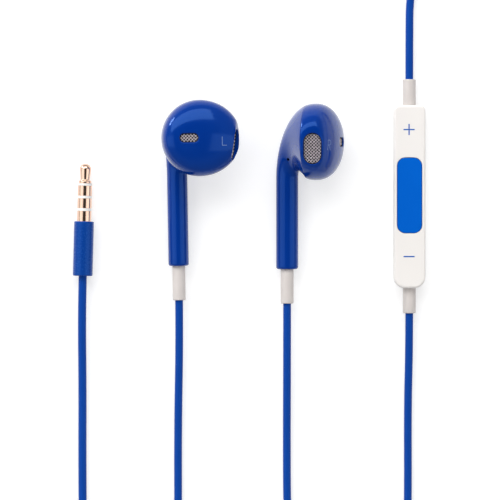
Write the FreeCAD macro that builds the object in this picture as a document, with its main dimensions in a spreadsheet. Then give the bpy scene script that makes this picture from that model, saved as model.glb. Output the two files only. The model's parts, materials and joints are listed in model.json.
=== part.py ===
import FreeCAD, Part
import math
import os
import Sketcher
from FreeCAD import Placement, Rotation, Vector

# Wired stem earphones: two earbuds, an in-line remote, a Y splitter and a 3.5 mm four-pole plug.
# Millimetres. +Z is up from the table they lie on, +Y runs from the cords to the heads of the earbuds,
# and the origin is on the table at the middle of the two earbuds.

doc = FreeCAD.newDocument("earphones")
sheet = doc.addObject("Spreadsheet::Sheet", "sizes")


class Size:
    """A length held both as a rule in the sheet's names and as its value now."""

    def __init__(self, rule, value):
        self.rule = rule
        self.value = value

    def join(self, sign, other, value):
        rule = other.rule if isinstance(other, Size) else repr(float(other))
        return Size(f"({self.rule} {sign} {rule})", value)

    def __add__(self, other):
        return self.join("+", other, self.value + number(other))

    def __sub__(self, other):
        return self.join("-", other, self.value - number(other))

    def __mul__(self, other):
        return self.join("*", other, self.value * number(other))

    def __truediv__(self, other):
        return self.join("/", other, self.value / number(other))


def number(length):
    return length.value if isinstance(length, Size) else float(length)


rows = []


def size(alias, amount):
    """Write one named length into the sheet and hand it back."""
    rows.append(alias)
    sheet.set(f"A{len(rows)}", alias.replace("_", " "))
    sheet.set(f"B{len(rows)}", str(amount))
    sheet.setAlias(f"B{len(rows)}", alias)
    return Size(f"sizes.{alias}", float(amount))


def bind(thing, **lengths):
    """Drive properties of a document object from the sheet; a double underscore stands for a dot."""
    for name, length in lengths.items():
        if isinstance(length, Size):
            thing.setExpression(name.replace("__", "."), length.rule)
    return thing


def finish(thing, label, place=None):
    thing.Label = label
    if place is not None:
        thing.Placement = place
    nodes[label] = thing
    return thing


nodes = {}

# Lengths. The stem is an oval tube; the head is a drum whose front is domed and whose +u side is a flat
# face with the sound port. In the bud's own frame u is X, the stem runs along Y and the front is Z.
stem_width = size("stem_width", 5.0)
stem_depth = size("stem_depth", 5.4)
stem_length = size("stem_length", 30.9)
stem_corner = size("stem_corner", 0.6)
elbow_start = size("elbow_start", 9.0)
wall = size("wall", 1.0)
head_middle = size("head_middle", 5.65)
head_half_height = size("head_half_height", 9.28)
head_back_side = size("head_back_side", 9.25)
head_nose_side = size("head_nose_side", 10.1)
seam_depth = size("seam_depth", 6.0)
widest_depth = size("widest_depth", 8.0)
front_depth = size("front_depth", 14.2)
face_reach = size("face_reach", 15.25)
face_slope = size("face_slope", 0.19)
face_from = size("face_from", 6.7)
port_width = size("port_width", 4.3)
port_length = size("port_length", 7.45)
port_drop = size("port_drop", 1.8)
port_sink = size("port_sink", 0.54)
port_lean = size("port_lean", 8.2)
port_depth = size("port_depth", 8.9)
mesh_ledge = size("mesh_ledge", 0.4)
mesh_recess = size("mesh_recess", 0.18)
mesh_thickness = size("mesh_thickness", 0.2)
mesh_clearance = size("mesh_clearance", 0.02)
slot_length = size("slot_length", 4.5)
slot_width = size("slot_width", 2.15)
slot_middle = size("slot_middle", 3.2)
slot_floor = size("slot_floor", 13.5)
vent_radius = size("vent_radius", 0.35)
vent_drop = size("vent_drop", 4.2)
vent_depth = size("vent_depth", 1.1)
lip_depth = size("lip_depth", 0.8)
lip_thickness = size("lip_thickness", 0.55)
lip_clearance = size("lip_clearance", 0.05)

driver_radius = size("driver_radius", 6.8)
frame_wall = size("frame_wall", 0.5)
frame_floor = size("frame_floor", 8.4)
frame_front = size("frame_front", 10.2)
frame_plate = size("frame_plate", 0.4)
yoke_radius = size("yoke_radius", 4.0)
yoke_wall = size("yoke_wall", 0.4)
yoke_back = size("yoke_back", 6.4)
yoke_plate = size("yoke_plate", 0.6)
yoke_front = size("yoke_front", 9.0)
magnet_radius = size("magnet_radius", 2.8)
magnet_front = size("magnet_front", 8.4)
pole_radius = size("pole_radius", 2.95)
coil_inner = size("coil_inner", 3.12)
coil_outer = size("coil_outer", 3.42)
coil_back = size("coil_back", 8.1)
diaphragm_back = size("diaphragm_back", 9.6)
diaphragm_thickness = size("diaphragm_thickness", 0.12)
diaphragm_radius = size("diaphragm_radius", 6.2)
gasket_inner = size("gasket_inner", 6.35)
gasket_outer = size("gasket_outer", 7.3)

cord_radius = size("cord_radius", 0.96)
main_radius = size("main_radius", 1.0)
relief_radius = size("relief_radius", 1.57)
relief_length = size("relief_length", 8.35)
relief_neck = size("relief_neck", 1.3)
relief_flange = size("relief_flange", 1.42)
flange_thickness = size("flange_thickness", 0.8)
clamp_radius = size("clamp_radius", 1.35)
clamp_length = size("clamp_length", 1.6)
cord_tail = size("cord_tail", 28.0)

left_x = size("left_x", -18.7)
left_y = size("left_y", 15.4)
left_z = size("left_z", 2.735)
right_x = size("right_x", 8.24)
right_y = size("right_y", 14.6)
right_z = size("right_z", 2.545)
right_roll = size("right_roll", 79.0)
left_lean = size("left_lean", 1.0)


# ---------------------------------------------------------------------------------------------- skins
def bezier(ends, part):
    a, b, c, d = ends
    rest = 1 - part
    return rest**3 * a + 3 * part * rest**2 * b + 3 * part**2 * rest * c + part**3 * d


def clipped(u, d, inset):
    """Hold a point of the skin behind the flat port face, with a small soft edge."""
    plane = face_reach.value - face_slope.value * (d - face_from.value) - inset
    soft = 0.25
    share = min(1.0, max(0.0, 0.5 + 0.5 * (plane - u) / soft))
    return plane * (1 - share) + u * share - soft * share * (1 - share)


def ring(hand, outer, inner, left, right, crown, inset):
    """One section of the skin. outer and inner are its far and near points as (depth, height), left and
    right its reach in u, crown where it is tallest."""
    middle = [(a + b) / 2 for a, b in zip(outer, inner)]
    half = [(a - b) / 2 for a, b in zip(outer, inner)]
    reach = math.hypot(*half)
    part = (reach - inset) / reach
    points = []
    count = 36
    for step in range(count):
        turn = 2 * math.pi * step / count - math.pi / 2
        side = right - crown - inset if math.cos(turn) > 0 else crown - left - inset
        u = crown + side * math.cos(turn)
        depth = middle[0] + half[0] * part * math.sin(turn)
        height = middle[1] + half[1] * part * math.sin(turn)
        points.append(Vector(hand * clipped(u, depth, inset), height, depth))
    return points + points[:1]


def drum(depth, front):
    """Share of full size the head has at one depth, and how far that is from the widest plane."""
    widest = widest_depth.value
    if depth <= widest:
        return 1 - 0.036 * ((widest - depth) / (widest - seam_depth.value)) ** 2, 0.0
    part = (depth - widest) / (front - widest)
    return (1 - part**2.5) ** 0.45, part


def skin(rings):
    """Closed solid through a row of closed sections, with flat ends."""
    surface = Part.BSplineSurface()
    surface.interpolate(rings)
    side = surface.toShape()
    ends = [Part.Face(Part.Wire([edge])) for edge in side.Edges if edge.isClosed()]
    shell = Part.makeShell([side, *ends])
    shell.sewShape()
    solid = Part.makeSolid(shell)
    if solid.Volume < 0:
        solid.reverse()
    return solid


def rear_skin(hand, inset, past=0.0):
    """Stem and back of the head, up to the seam plane and a little past it where asked."""
    width, depth = stem_width.value / 2, stem_depth.value / 2
    end = -stem_length.value + inset
    corner = stem_corner.value if inset == 0 else 0.1
    rings = []
    for turn in (0, 30, 60, 90):
        back = corner * (1 - math.sin(math.radians(turn)))
        height = end + corner * (1 - math.cos(math.radians(turn)))
        rings.append(ring(hand, (-depth, height), (depth, height), -width, width, 0, inset + back))
    for height in (end + 2, end + 6, end + 10, end + 14, end + 17, -elbow_start.value - 2):
        rings.append(ring(hand, (-depth, height), (depth, height), -width, width, 0, inset))
    seam, start = seam_depth.value, -elbow_start.value
    middle, tall = head_middle.value, head_half_height.value
    share, _ = drum(seam, front_depth.value)
    tall, left, right = tall * share, head_back_side.value * share, head_nose_side.value * share
    for step in range(13):
        part = step / 12
        outer = (bezier((-depth, -depth, 1.5, seam), part), bezier((start, 0.6, tall - 1.5, tall), part))
        inner = (bezier((depth, depth, 3.4, seam), part), bezier((start, -6.6, -6.3, -tall), part))
        reach_left = bezier((-width, -width, -3.2, middle - left), part)
        reach_right = bezier((width, width + 0.1, 9.0, middle + right), part)
        crown = bezier((0, 0.1, 3.2, middle), part)
        rings.append(ring(hand, outer, inner, reach_left, reach_right, crown, inset))
    if past:
        depth = seam + past
        share, _ = drum(depth, front_depth.value)
        tall = head_half_height.value * share
        left, right = head_back_side.value * share, head_nose_side.value * share
        rings.append(ring(hand, (depth, tall), (depth, -tall), middle - left, middle + right, middle, inset))
    return skin(rings)


def front_skin(hand, inset, start):
    """Domed front of the head, from one depth forwards; its crown leans back towards the stem side."""
    front = front_depth.value - inset
    widest = widest_depth.value
    depths = [start, (start + widest) / 2, widest]
    depths += [widest + (front - widest) * part for part in (0.25, 0.45, 0.62, 0.76, 0.86, 0.93, 0.975, 0.99)]
    rings = []
    for depth in depths:
        share, part = drum(depth, front)
        crown = head_middle.value - 3.6 * part**3
        tall = head_half_height.value * share
        left = crown - head_back_side.value * share
        right = crown + head_nose_side.value * share
        rings.append(ring(hand, (depth, tall), (depth, -tall), left, right, crown, inset * share))
    return skin(rings)


def capsule(length, width, height):
    """Upright prism with two straight sides and two round ends, long in Y, standing on the origin."""
    radius, reach = width / 2, (length - width) / 2
    sides = [
        Part.Arc(Vector(radius, reach, 0), Vector(0, reach + radius, 0), Vector(-radius, reach, 0)),
        Part.LineSegment(Vector(-radius, reach, 0), Vector(-radius, -reach, 0)),
        Part.Arc(Vector(-radius, -reach, 0), Vector(0, -reach - radius, 0), Vector(radius, -reach, 0)),
        Part.LineSegment(Vector(radius, -reach, 0), Vector(radius, reach, 0)),
    ]
    outline = Part.Wire([side.toShape() for side in sides])
    return Part.Face(outline).extrude(Vector(0, 0, height))


def feature(label, shape, place):
    """A piece whose shape is worked out from the sheet by Part functions."""
    if shape.ShapeType == "Compound" and len(shape.Solids) == 1:
        shape = shape.Solids[0]
    thing = doc.addObject("Part::Feature", label)
    thing.Shape = shape
    return finish(thing, label, (place or Placement()).multiply(shape.Placement))


def turned(label, place, *outline):
    """A body turned about its own Z axis from an outline of (radius, height) points."""
    body = doc.addObject("PartDesign::Body", label)
    sketch = body.newObject("Sketcher::SketchObject", label + "_outline")
    sketch.AttachmentSupport = [(plane_of(body, "XZ"), "")]
    sketch.MapMode = "FlatFace"
    points = [Vector(number(radius), number(height), 0) for radius, height in outline]
    count = len(points)
    for index in range(count):
        sketch.addGeometry(Part.LineSegment(points[index], points[(index + 1) % count]), False)
    for index in range(count):
        sketch.addConstraint(Sketcher.Constraint("Coincident", index, 2, (index + 1) % count, 1))
    for index, (radius, height) in enumerate(outline):
        for kind, axis, length in (("DistanceX", -2, radius), ("DistanceY", -1, height)):
            if abs(number(length)) < 1e-9:
                sketch.addConstraint(Sketcher.Constraint("PointOnObject", index, 1, axis))
                continue
            rule = Sketcher.Constraint(kind, -1, 1, index, 1, number(length))
            at = sketch.addConstraint(rule)
            if isinstance(length, Size):
                sketch.setExpression(f"Constraints[{at}]", length.rule)
    turn = body.newObject("PartDesign::Revolution", label + "_turn")
    turn.Profile = sketch
    turn.ReferenceAxis = (sketch, ["V_Axis"])
    turn.Angle = 360
    return finish(body, label, place)


def plane_of(body, name):
    for thing in body.Origin.OriginFeatures:
        if thing.Role == name + "_Plane":
            return thing
    raise RuntimeError("the body has no plane " + name)


# --------------------------------------------------------------------------------------------- earbuds
def earbud(side, hand, place):
    """One earbud. hand is 1 for the left and -1 for the right, which is its mirror image in u."""
    middle = head_middle.value
    slab = Part.makeBox(80, 100, 40, Vector(-40, -50, seam_depth.value))

    # The port is set into the flat face of the nose and leans with its lower end, where the face begins
    # to curve back; the slot is set into the crown of the dome.
    slope = math.degrees(math.atan(face_slope.value))
    reach = face_reach.value - face_slope.value * (port_depth.value - face_from.value) - port_sink.value
    facing = Rotation(Vector(0, 1, 0), hand * (90 - slope))
    facing = facing.multiply(Rotation(Vector(1, 0, 0), port_lean.value))
    port = Placement(Vector(hand * reach, -port_drop.value, port_depth.value), facing)
    crown = Placement(Vector(hand * slot_middle.value, 0, slot_floor.value), Rotation(Vector(0, 0, 1), 90))

    def set_in(frame, length, width, low, high):
        shape = capsule(length, width, high - low)
        shape.translate(Vector(0, 0, low))
        shape.Placement = frame.multiply(shape.Placement)
        return shape

    ledge = 2 * mesh_ledge.value
    deep = mesh_recess.value + mesh_thickness.value
    port_long, port_wide = port_length.value, port_width.value
    slot_long, slot_wide = slot_length.value, slot_width.value
    # A lip behind the seam plane plugs the front shell into the rear one, where it is glued.
    seam, reach_in, inset = seam_depth.value, lip_depth.value, wall.value + lip_clearance.value
    band = Part.makeBox(80, 100, reach_in, Vector(-40, -50, seam - reach_in))
    front = front_skin(hand, 0, seam).fuse(rear_skin(hand, inset, 0.5).common(band))
    front = front.cut(rear_skin(hand, inset + lip_thickness.value, 0.5).cut(slab))
    mouth = front_skin(hand, inset + lip_thickness.value, seam)
    front = front.cut(mouth.common(Part.makeBox(80, 100, 10, Vector(-40, -50, seam + reach_in - 10))))
    front = front.cut(front_skin(hand, wall.value, seam + reach_in))
    front = front.cut(set_in(port, port_long, port_wide, -deep, 2))
    front = front.cut(set_in(port, port_long - ledge, port_wide - ledge, -3, 2))
    front = front.cut(set_in(crown, slot_long, slot_wide, 0, 3))
    front = front.cut(set_in(crown, slot_long - ledge, slot_wide - ledge, -2, 3))
    feature(side + "_front_shell", front, place)

    rear = rear_skin(hand, 0).cut(rear_skin(hand, wall.value, 0.5))
    foot_hole = Part.makeCylinder(relief_neck.value, 4, Vector(0, -stem_length.value - 1, 0), Vector(0, 1, 0))
    # A pin-sized vent opens where the stem runs into the head, on the nose side.
    vent = Vector(0, -vent_drop.value, vent_depth.value)
    vent_hole = Part.makeCylinder(vent_radius.value, 6, vent, Vector(hand, 0, 0))
    feature(side + "_rear_housing", rear.cut(slab).cut(foot_hole).cut(vent_hole), place)

    gap = 2 * mesh_clearance.value
    sheet_of_port = set_in(port, port_long - gap, port_wide - gap, -deep, -mesh_recess.value)
    feature(side + "_port_mesh", sheet_of_port, place)
    sheet_of_slot = set_in(crown, slot_long - gap, slot_wide - gap, 0, mesh_thickness.value)
    feature(side + "_slot_mesh", sheet_of_slot, place)

    # The driver stands on its axis, square to the seam plane. Heights below are depths in the head.
    axis = place.multiply(Placement(Vector(hand * middle, 0, 0), Rotation()))
    turned(
        side + "_driver_frame", axis,
        (yoke_radius, frame_floor), (driver_radius, frame_floor), (driver_radius, frame_front),
        (driver_radius - frame_wall, frame_front), (driver_radius - frame_wall, frame_floor + frame_plate),
        (yoke_radius, frame_floor + frame_plate),
    )
    turned(
        side + "_driver_yoke", axis,
        (0, yoke_back), (yoke_radius, yoke_back), (yoke_radius, yoke_front),
        (yoke_radius - yoke_wall, yoke_front), (yoke_radius - yoke_wall, yoke_back + yoke_plate),
        (0, yoke_back + yoke_plate),
    )
    turned(
        side + "_driver_magnet", axis,
        (0, yoke_back + yoke_plate), (magnet_radius, yoke_back + yoke_plate),
        (magnet_radius, magnet_front), (0, magnet_front),
    )
    turned(
        side + "_driver_pole_plate", axis,
        (0, magnet_front), (pole_radius, magnet_front), (pole_radius, yoke_front), (0, yoke_front),
    )
    turned(
        side + "_voice_coil", axis,
        (coil_inner, coil_back), (coil_outer, coil_back), (coil_outer, diaphragm_back),
        (coil_inner, diaphragm_back),
    )
    thick = diaphragm_thickness
    turned(
        side + "_diaphragm", axis,
        (0, diaphragm_back + 0.7), (coil_inner, diaphragm_back), (coil_outer + 0.2, diaphragm_back),
        (diaphragm_radius - 1.2, diaphragm_back + 0.35), (diaphragm_radius, diaphragm_back),
        (diaphragm_radius, diaphragm_back + thick), (diaphragm_radius - 1.2, diaphragm_back + thick + 0.35),
        (coil_outer + 0.2, diaphragm_back + thick), (coil_inner, diaphragm_back + thick),
        (0, diaphragm_back + thick + 0.7),
    )
    # The seat ring fills the corner between the driver and the inside of the dome.
    seat = Part.makeCylinder(gasket_outer.value, 4, Vector(hand * middle, 0, frame_front.value))
    seat = seat.cut(Part.makeCylinder(gasket_inner.value, 4, Vector(hand * middle, 0, frame_front.value)))
    seat = seat.common(front_skin(hand, wall.value + 0.03, seam_depth.value - 0.5))
    feature(side + "_driver_seat", seat, place)

    # The strain relief is snapped through the foot of the stem; the cord is clamped above its flange.
    # Heights run down the stem from the top of the clamp.
    top = stem_length - wall - flange_thickness - clamp_length
    down = place.multiply(Placement(Vector(0, -top.value, 0), Rotation(Vector(1, 0, 0), 90)))
    flange = clamp_length + flange_thickness
    turned(
        side + "_strain_relief", down,
        (cord_radius, clamp_length), (relief_flange, clamp_length), (relief_flange, flange),
        (relief_neck, flange), (relief_neck, flange + wall), (relief_radius, flange + wall),
        (relief_radius, flange + wall + relief_length - 0.3),
        (relief_radius - 0.3, flange + wall + relief_length), (cord_radius, flange + wall + relief_length),
    )
    turned(
        side + "_cord_clamp", down,
        (cord_radius, 0), (clamp_radius, 0), (clamp_radius, clamp_length), (cord_radius, clamp_length),
    )


left_turn = Rotation(Vector(0, 0, 1), left_lean.value)
left_place = Placement(Vector(left_x.value, left_y.value, left_z.value), left_turn)
right_turn = Rotation(Vector(0, 1, 0), right_roll.value)
right_place = Placement(Vector(right_x.value, right_y.value, right_z.value), right_turn)
earbud("left", 1, left_place)
earbud("right", -1, right_place)

# ---------------------------------------------------------------------------------------------- remote
remote_x = size("remote_x", 38.0)
remote_y = size("remote_y", 1.38)
remote_width = size("remote_width", 7.75)
remote_length = size("remote_length", 44.6)
remote_height = size("remote_height", 5.0)
remote_corner = size("remote_corner", 1.5)
remote_foot_corner = size("remote_foot_corner", 2.8)
inner_foot_corner = size("inner_foot_corner", 0.7)
remote_edge = size("remote_edge", 1.0)
remote_wall = size("remote_wall", 0.8)
housing_height = size("housing_height", 2.4)
rocker_gap = size("rocker_gap", 0.42)
rocker_plate = size("rocker_plate", 1.0)
button_width = size("button_width", 6.0)
button_length = size("button_length", 18.3)
button_corner = size("button_corner", 2.0)
button_clearance = size("button_clearance", 0.12)
button_offset = size("button_offset", 0.3)
plunger_radius = size("plunger_radius", 0.9)
pivot_height = size("pivot_height", 2.6)
pivot_radius = size("pivot_radius", 0.45)
pivot_clearance = size("pivot_clearance", 0.04)
post_reach = size("post_reach", 2.15)
post_thickness = size("post_thickness", 0.65)
post_length = size("post_length", 1.8)
post_rise = size("post_rise", 0.7)
tray_edge = size("tray_edge", 0.5)
tray_corner = size("tray_corner", 1.0)
ear_thickness = size("ear_thickness", 0.6)
ear_top = size("ear_top", 3.6)
ear_drop = size("ear_drop", 0.75)
waist_width = size("waist_width", 2.8)
waist_length = size("waist_length", 3.6)
ear_reach = size("ear_reach", 2.3)
board_thickness = size("board_thickness", 0.6)
board_width = size("board_width", 5.6)
board_length = size("board_length", 39.0)
dome_radius = size("dome_radius", 1.3)
dome_height = size("dome_height", 0.45)
dome_gap = size("dome_gap", 0.02)
switch_reach = size("switch_reach", 13.6)
outlet_height = size("outlet_height", 2.0)
outlet_upper = size("outlet_upper", 6.3)
outlet_lower = size("outlet_lower", 6.1)
lug_width = size("lug_width", 4.4)
lug_length = size("lug_length", 1.1)
outlet_clearance = size("outlet_clearance", 0.42)
mic_radius = size("mic_radius", 1.5)
mic_height = size("mic_height", 1.0)
mic_reach = size("mic_reach", 17.4)
mic_hole = size("mic_hole", 0.35)


def block(x, y, z, width, length, height, lean=0):
    """Box centred on (x, y) that stands on z."""
    box = doc.addObject("Part::Box", "block")
    bind(box, Length=width, Width=length, Height=height)
    box.Length, box.Width, box.Height = number(width), number(length), number(height)
    corner = Size("0", 0.0) + x - width / 2, Size("0", 0.0) + y - length / 2, Size("0", 0.0) + z
    box.Placement = Placement(Vector(*[length.value for length in corner]), Rotation())
    for name, length in zip("xyz", corner):
        box.setExpression(f"Placement.Base.{name}", length.rule)
    return box


def rod(radius, height, place):
    """Round rod along its own Z axis."""
    cylinder = doc.addObject("Part::Cylinder", "rod")
    cylinder.Radius, cylinder.Height = number(radius), number(height)
    bind(cylinder, Radius=radius, Height=height)
    cylinder.Placement = place
    return cylinder


def slab(width, length, height, corner, edge=None, top=True, foot_corner=None):
    """Body: a rectangle padded up from the floor, its corners rounded and one face's edge softened."""
    body = doc.addObject("PartDesign::Body", "slab")
    sketch = body.newObject("Sketcher::SketchObject", "slab_outline")
    sketch.AttachmentSupport = [(plane_of(body, "XY"), "")]
    sketch.MapMode = "FlatFace"
    x, y = number(width) / 2, number(length) / 2
    points = [Vector(-x, -y, 0), Vector(x, -y, 0), Vector(x, y, 0), Vector(-x, y, 0)]
    for index in range(4):
        sketch.addGeometry(Part.LineSegment(points[index], points[(index + 1) % 4]), False)
    for index in range(4):
        sketch.addConstraint(Sketcher.Constraint("Coincident", index, 2, (index + 1) % 4, 1))
    for index, kind in enumerate(("Horizontal", "Vertical", "Horizontal", "Vertical")):
        sketch.addConstraint(Sketcher.Constraint(kind, index))
    sketch.addConstraint(Sketcher.Constraint("Symmetric", 0, 1, 2, 1, -1, 1))
    wide = sketch.addConstraint(Sketcher.Constraint("DistanceX", 0, 1, 0, 2, 2 * x))
    long = sketch.addConstraint(Sketcher.Constraint("DistanceY", 1, 1, 1, 2, 2 * y))
    sketch.setExpression(f"Constraints[{wide}]", width.rule)
    sketch.setExpression(f"Constraints[{long}]", length.rule)
    pad = body.newObject("PartDesign::Pad", "slab_pad")
    pad.Profile = sketch
    pad.Length = number(height)
    bind(pad, Length=height)
    doc.recompute()
    rounding = pad
    for end, amount in ((1, corner), (-1, foot_corner or corner)):
        upright = []
        for index, one in enumerate(rounding.Shape.Edges):
            straight = one.Curve.TypeId == "Part::GeomLine" and abs(one.tangentAt(one.FirstParameter).z) > 0.99
            if straight and one.Vertexes[0].Y * end > number(length) / 2 - 0.01:
                upright.append(f"Edge{index + 1}")
        softer = body.newObject("PartDesign::Fillet", "slab_corners")
        softer.Base = (rounding, upright)
        softer.Radius = number(amount)
        bind(softer, Radius=amount)
        doc.recompute()
        rounding = softer
    if edge is not None:
        level = number(height) if top else 0.0
        rim = []
        for index, one in enumerate(rounding.Shape.Edges):
            box = one.BoundBox
            if abs(box.ZMin - level) < 1e-4 and abs(box.ZMax - level) < 1e-4:
                rim.append(f"Edge{index + 1}")
        softening = body.newObject("PartDesign::Fillet", "slab_edge")
        softening.Base = (rounding, rim)
        softening.Radius = number(edge)
        bind(softening, Radius=edge)
    return body


def lifted(thing, x=0, y=0, z=0):
    """Move a piece by lengths of the sheet."""
    for name, length in (("x", x), ("y", y), ("z", z)):
        if isinstance(length, Size):
            thing.setExpression(f"Placement.Base.{name}", length.rule)
    thing.Placement = Placement(Vector(number(x), number(y), number(z)), thing.Placement.Rotation)
    return thing


def gathered(*things):
    if len(things) == 1:
        return things[0]
    joined = doc.addObject("Part::MultiFuse", "gathered")
    joined.Shapes = list(things)
    return joined


def without(base, *tools):
    cut = doc.addObject("Part::Cut", "cut")
    cut.Base = base
    cut.Tool = gathered(*tools)
    return cut


remote_place = Placement(Vector(remote_x.value, remote_y.value, 0), Rotation())
along_y = Rotation(Vector(1, 0, 0), -90)
along_x = Rotation(Vector(0, 1, 0), 90)
inner_width = remote_width - remote_wall * 2
inner_length = remote_length - remote_wall * 2
span = remote_length.value

# The lower housing is a shallow tray. Two posts on its floor carry the pivot pins, and its ends cradle
# the strain reliefs.
tray = slab(remote_width, remote_length, housing_height, remote_corner, tray_edge, False, remote_foot_corner)
hollow = slab(inner_width, inner_length, housing_height, tray_corner, foot_corner=inner_foot_corner)
lifted(hollow, z=remote_wall)
cradle_place = Placement(Vector(0, -span / 2 - 1, outlet_height.value), along_y)
cradle = rod(relief_radius, remote_length + 2, cradle_place)
sound_hole = rod(mic_hole, remote_wall * 2, Placement(Vector(0, -mic_reach.value, -0.4), Rotation()))
post_middle = post_reach - post_thickness / 2
post_height = pivot_height + post_rise - remote_wall / 2
right_post = block(post_middle, 0, remote_wall / 2, post_thickness, post_length, post_height)
left_post = block(post_middle * -1, 0, remote_wall / 2, post_thickness, post_length, post_height)
pin_length = post_thickness + ear_thickness + 0.15
pin_start = post_reach - post_thickness
shaft = rod(pivot_radius, pin_start * 2 + pin_length * 2, Placement())
shaft.Placement = Placement(Vector(-shaft.Height.Value / 2, 0, pivot_height.value), along_x)
tray_shell = without(tray, hollow, cradle, sound_hole)
finish(without(gathered(tray_shell, right_post, left_post), shaft), "remote_housing", remote_place)

# The volume rocker is the white cover. Its ears hang down outside the posts and turn on the pins; one
# peg under each end works a switch; its ends arch over the strain reliefs.
cover_foot = housing_height + rocker_gap
cover_height = remote_height - cover_foot
cover = slab(remote_width, remote_length, cover_height, remote_corner, remote_edge, True, remote_foot_corner)
lifted(cover, z=cover_foot)
under = slab(inner_width, inner_length, cover_height, tray_corner, foot_corner=inner_foot_corner)
lifted(under, z=cover_foot - rocker_plate)
opening_width = button_width + button_clearance * 2
opening_length = button_length + button_clearance * 2
opening = slab(opening_width, opening_length, remote_height * 2, button_corner + button_clearance)
lifted(opening, y=button_offset)
arch_radius = relief_radius + outlet_clearance
arch = rod(arch_radius, remote_length + 2, cradle_place)
ear_foot = pivot_height - ear_drop
ear_root = remote_width / 2 - remote_wall / 2 - ear_reach
ear_hole = rod(pivot_radius + pivot_clearance, remote_width, Placement(
    Vector(-remote_width.value / 2, 0, pivot_height.value), along_x))
ears = []
for sign in (-1, 1):
    hanging = (ear_reach + ear_thickness / 2) * sign
    joining = (ear_reach + ear_root / 2) * sign
    ears.append(block(hanging, 0, ear_foot, ear_thickness, post_length, ear_top - ear_foot))
    ears.append(block(joining, 0, cover_foot, ear_root, post_length, ear_top - cover_foot))
peg_foot = remote_wall + board_thickness + dome_height + dome_gap
peg_height = remote_height - rocker_plate / 2 - peg_foot
pegs = []
for sign in (-1, 1):
    peg = rod(plunger_radius, peg_height, Placement())
    pegs.append(lifted(peg, y=switch_reach * sign, z=peg_foot))
hollow_cover = without(cover, under, arch, opening)
rocker = without(gathered(hollow_cover, *ears, *pegs), ear_hole)
finish(rocker, "volume_rocker", remote_place)

# Two short steel pins share one node; each is pressed into its post and carries one ear.
pins = [rod(pivot_radius, pin_length, Placement(Vector(start, 0, pivot_height.value), along_x))
        for start in (-pin_start.value - pin_length.value, pin_start.value)]
finish(gathered(*pins), "pivot_pins", remote_place)

# The centre button is a plate flush with the cover, with one peg over the middle switch.
plate = slab(button_width, button_length, rocker_plate, button_corner, size("button_edge", 0.3))
lifted(plate, y=button_offset, z=remote_height - rocker_plate)
plunger = rod(plunger_radius, remote_height - rocker_plate / 2 - peg_foot, Placement())
lifted(plunger, z=peg_foot)
finish(gathered(plate, plunger), "centre_button", remote_place)

# The circuit board lies on the floor of the tray; its waist passes between the posts.
board = lifted(slab(board_width, board_length, board_thickness, size("board_corner", 0.4)), z=remote_wall)
notch_width = (board_width - waist_width) / 2 + 0.5
notches = [block((waist_width / 2 + notch_width / 2) * sign, 0, remote_wall / 2, notch_width, waist_length,
                 board_thickness * 3) for sign in (-1, 1)]
finish(without(board, *notches), "remote_circuit_board", remote_place)
board_top = remote_wall + board_thickness
for label, reach in (("plus_switch_dome", switch_reach), ("centre_switch_dome", 0),
                     ("minus_switch_dome", switch_reach * -1)):
    at = remote_place.multiply(Placement(Vector(0, number(reach), board_top.value), Rotation()))
    turned(label, at, (0, 0), (dome_radius, 0), (dome_radius, 0.1), (dome_radius * 0.55, dome_height),
           (0, dome_height))
at = remote_place.multiply(Placement(Vector(0, -mic_reach.value, board_top.value), Rotation()))
turned("microphone_capsule", at, (0, 0), (mic_radius, 0), (mic_radius, mic_height), (0, mic_height))

# Each outlet is a soft sleeve with a square lug that the end wall holds; the cord runs through it.
for label, sign, length in (("remote_upper_relief", 1, outlet_upper), ("remote_lower_relief", -1, outlet_lower)):
    start = span / 2 - remote_wall.value - lug_length.value - 0.2
    reach = remote_wall + lug_length + 0.2 + length
    at = Placement(Vector(0, sign * start, outlet_height.value), Rotation(Vector(1, 0, 0), -90 * sign))
    sleeve = rod(relief_radius, reach, at)
    bore = rod(cord_radius, reach + 2, Placement(Vector(0, sign * (start - 1), outlet_height.value), at.Rotation))
    lug_middle = (remote_length / 2 - remote_wall - 0.1 - lug_length / 2) * sign
    lug_foot = remote_wall
    lug = block(0, lug_middle, lug_foot, lug_width, lug_length, housing_height - lug_foot)
    finish(without(gathered(sleeve, lug), bore), label, remote_place)

# ------------------------------------------------------------------------------------------------ plug
# A 3.5 mm four-pole plug. Heights run from the face of the barrel towards the tip.
plug_x = size("plug_x", -41.2)
plug_y = size("plug_y", -4.62)
plug_tilt = size("plug_tilt", 1.5)
pin_radius = size("pin_radius", 1.75)
sleeve_end = size("sleeve_end", 2.53)
first_insulator = size("first_insulator", 0.65)
second_ring = size("second_ring", 2.41)
second_insulator = size("second_insulator", 0.62)
first_ring = size("first_ring", 2.47)
third_insulator = size("third_insulator", 0.56)
tip_collar = size("tip_collar", 0.59)
tip_length = size("tip_length", 4.17)
collar_radius = size("collar_radius", 1.55)
neck_radius = size("neck_radius", 1.14)
nose_radius = size("nose_radius", 1.425)
nose_flat = size("nose_flat", 0.45)
core_radius = size("core_radius", 0.6)
barrel_radius = size("barrel_radius", 2.415)
barrel_length = size("barrel_length", 13.3)
barrel_edge = size("barrel_edge", 0.35)
cord_hold = size("cord_hold", 5.0)
core_back = size("core_back", 4.0)

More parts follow.
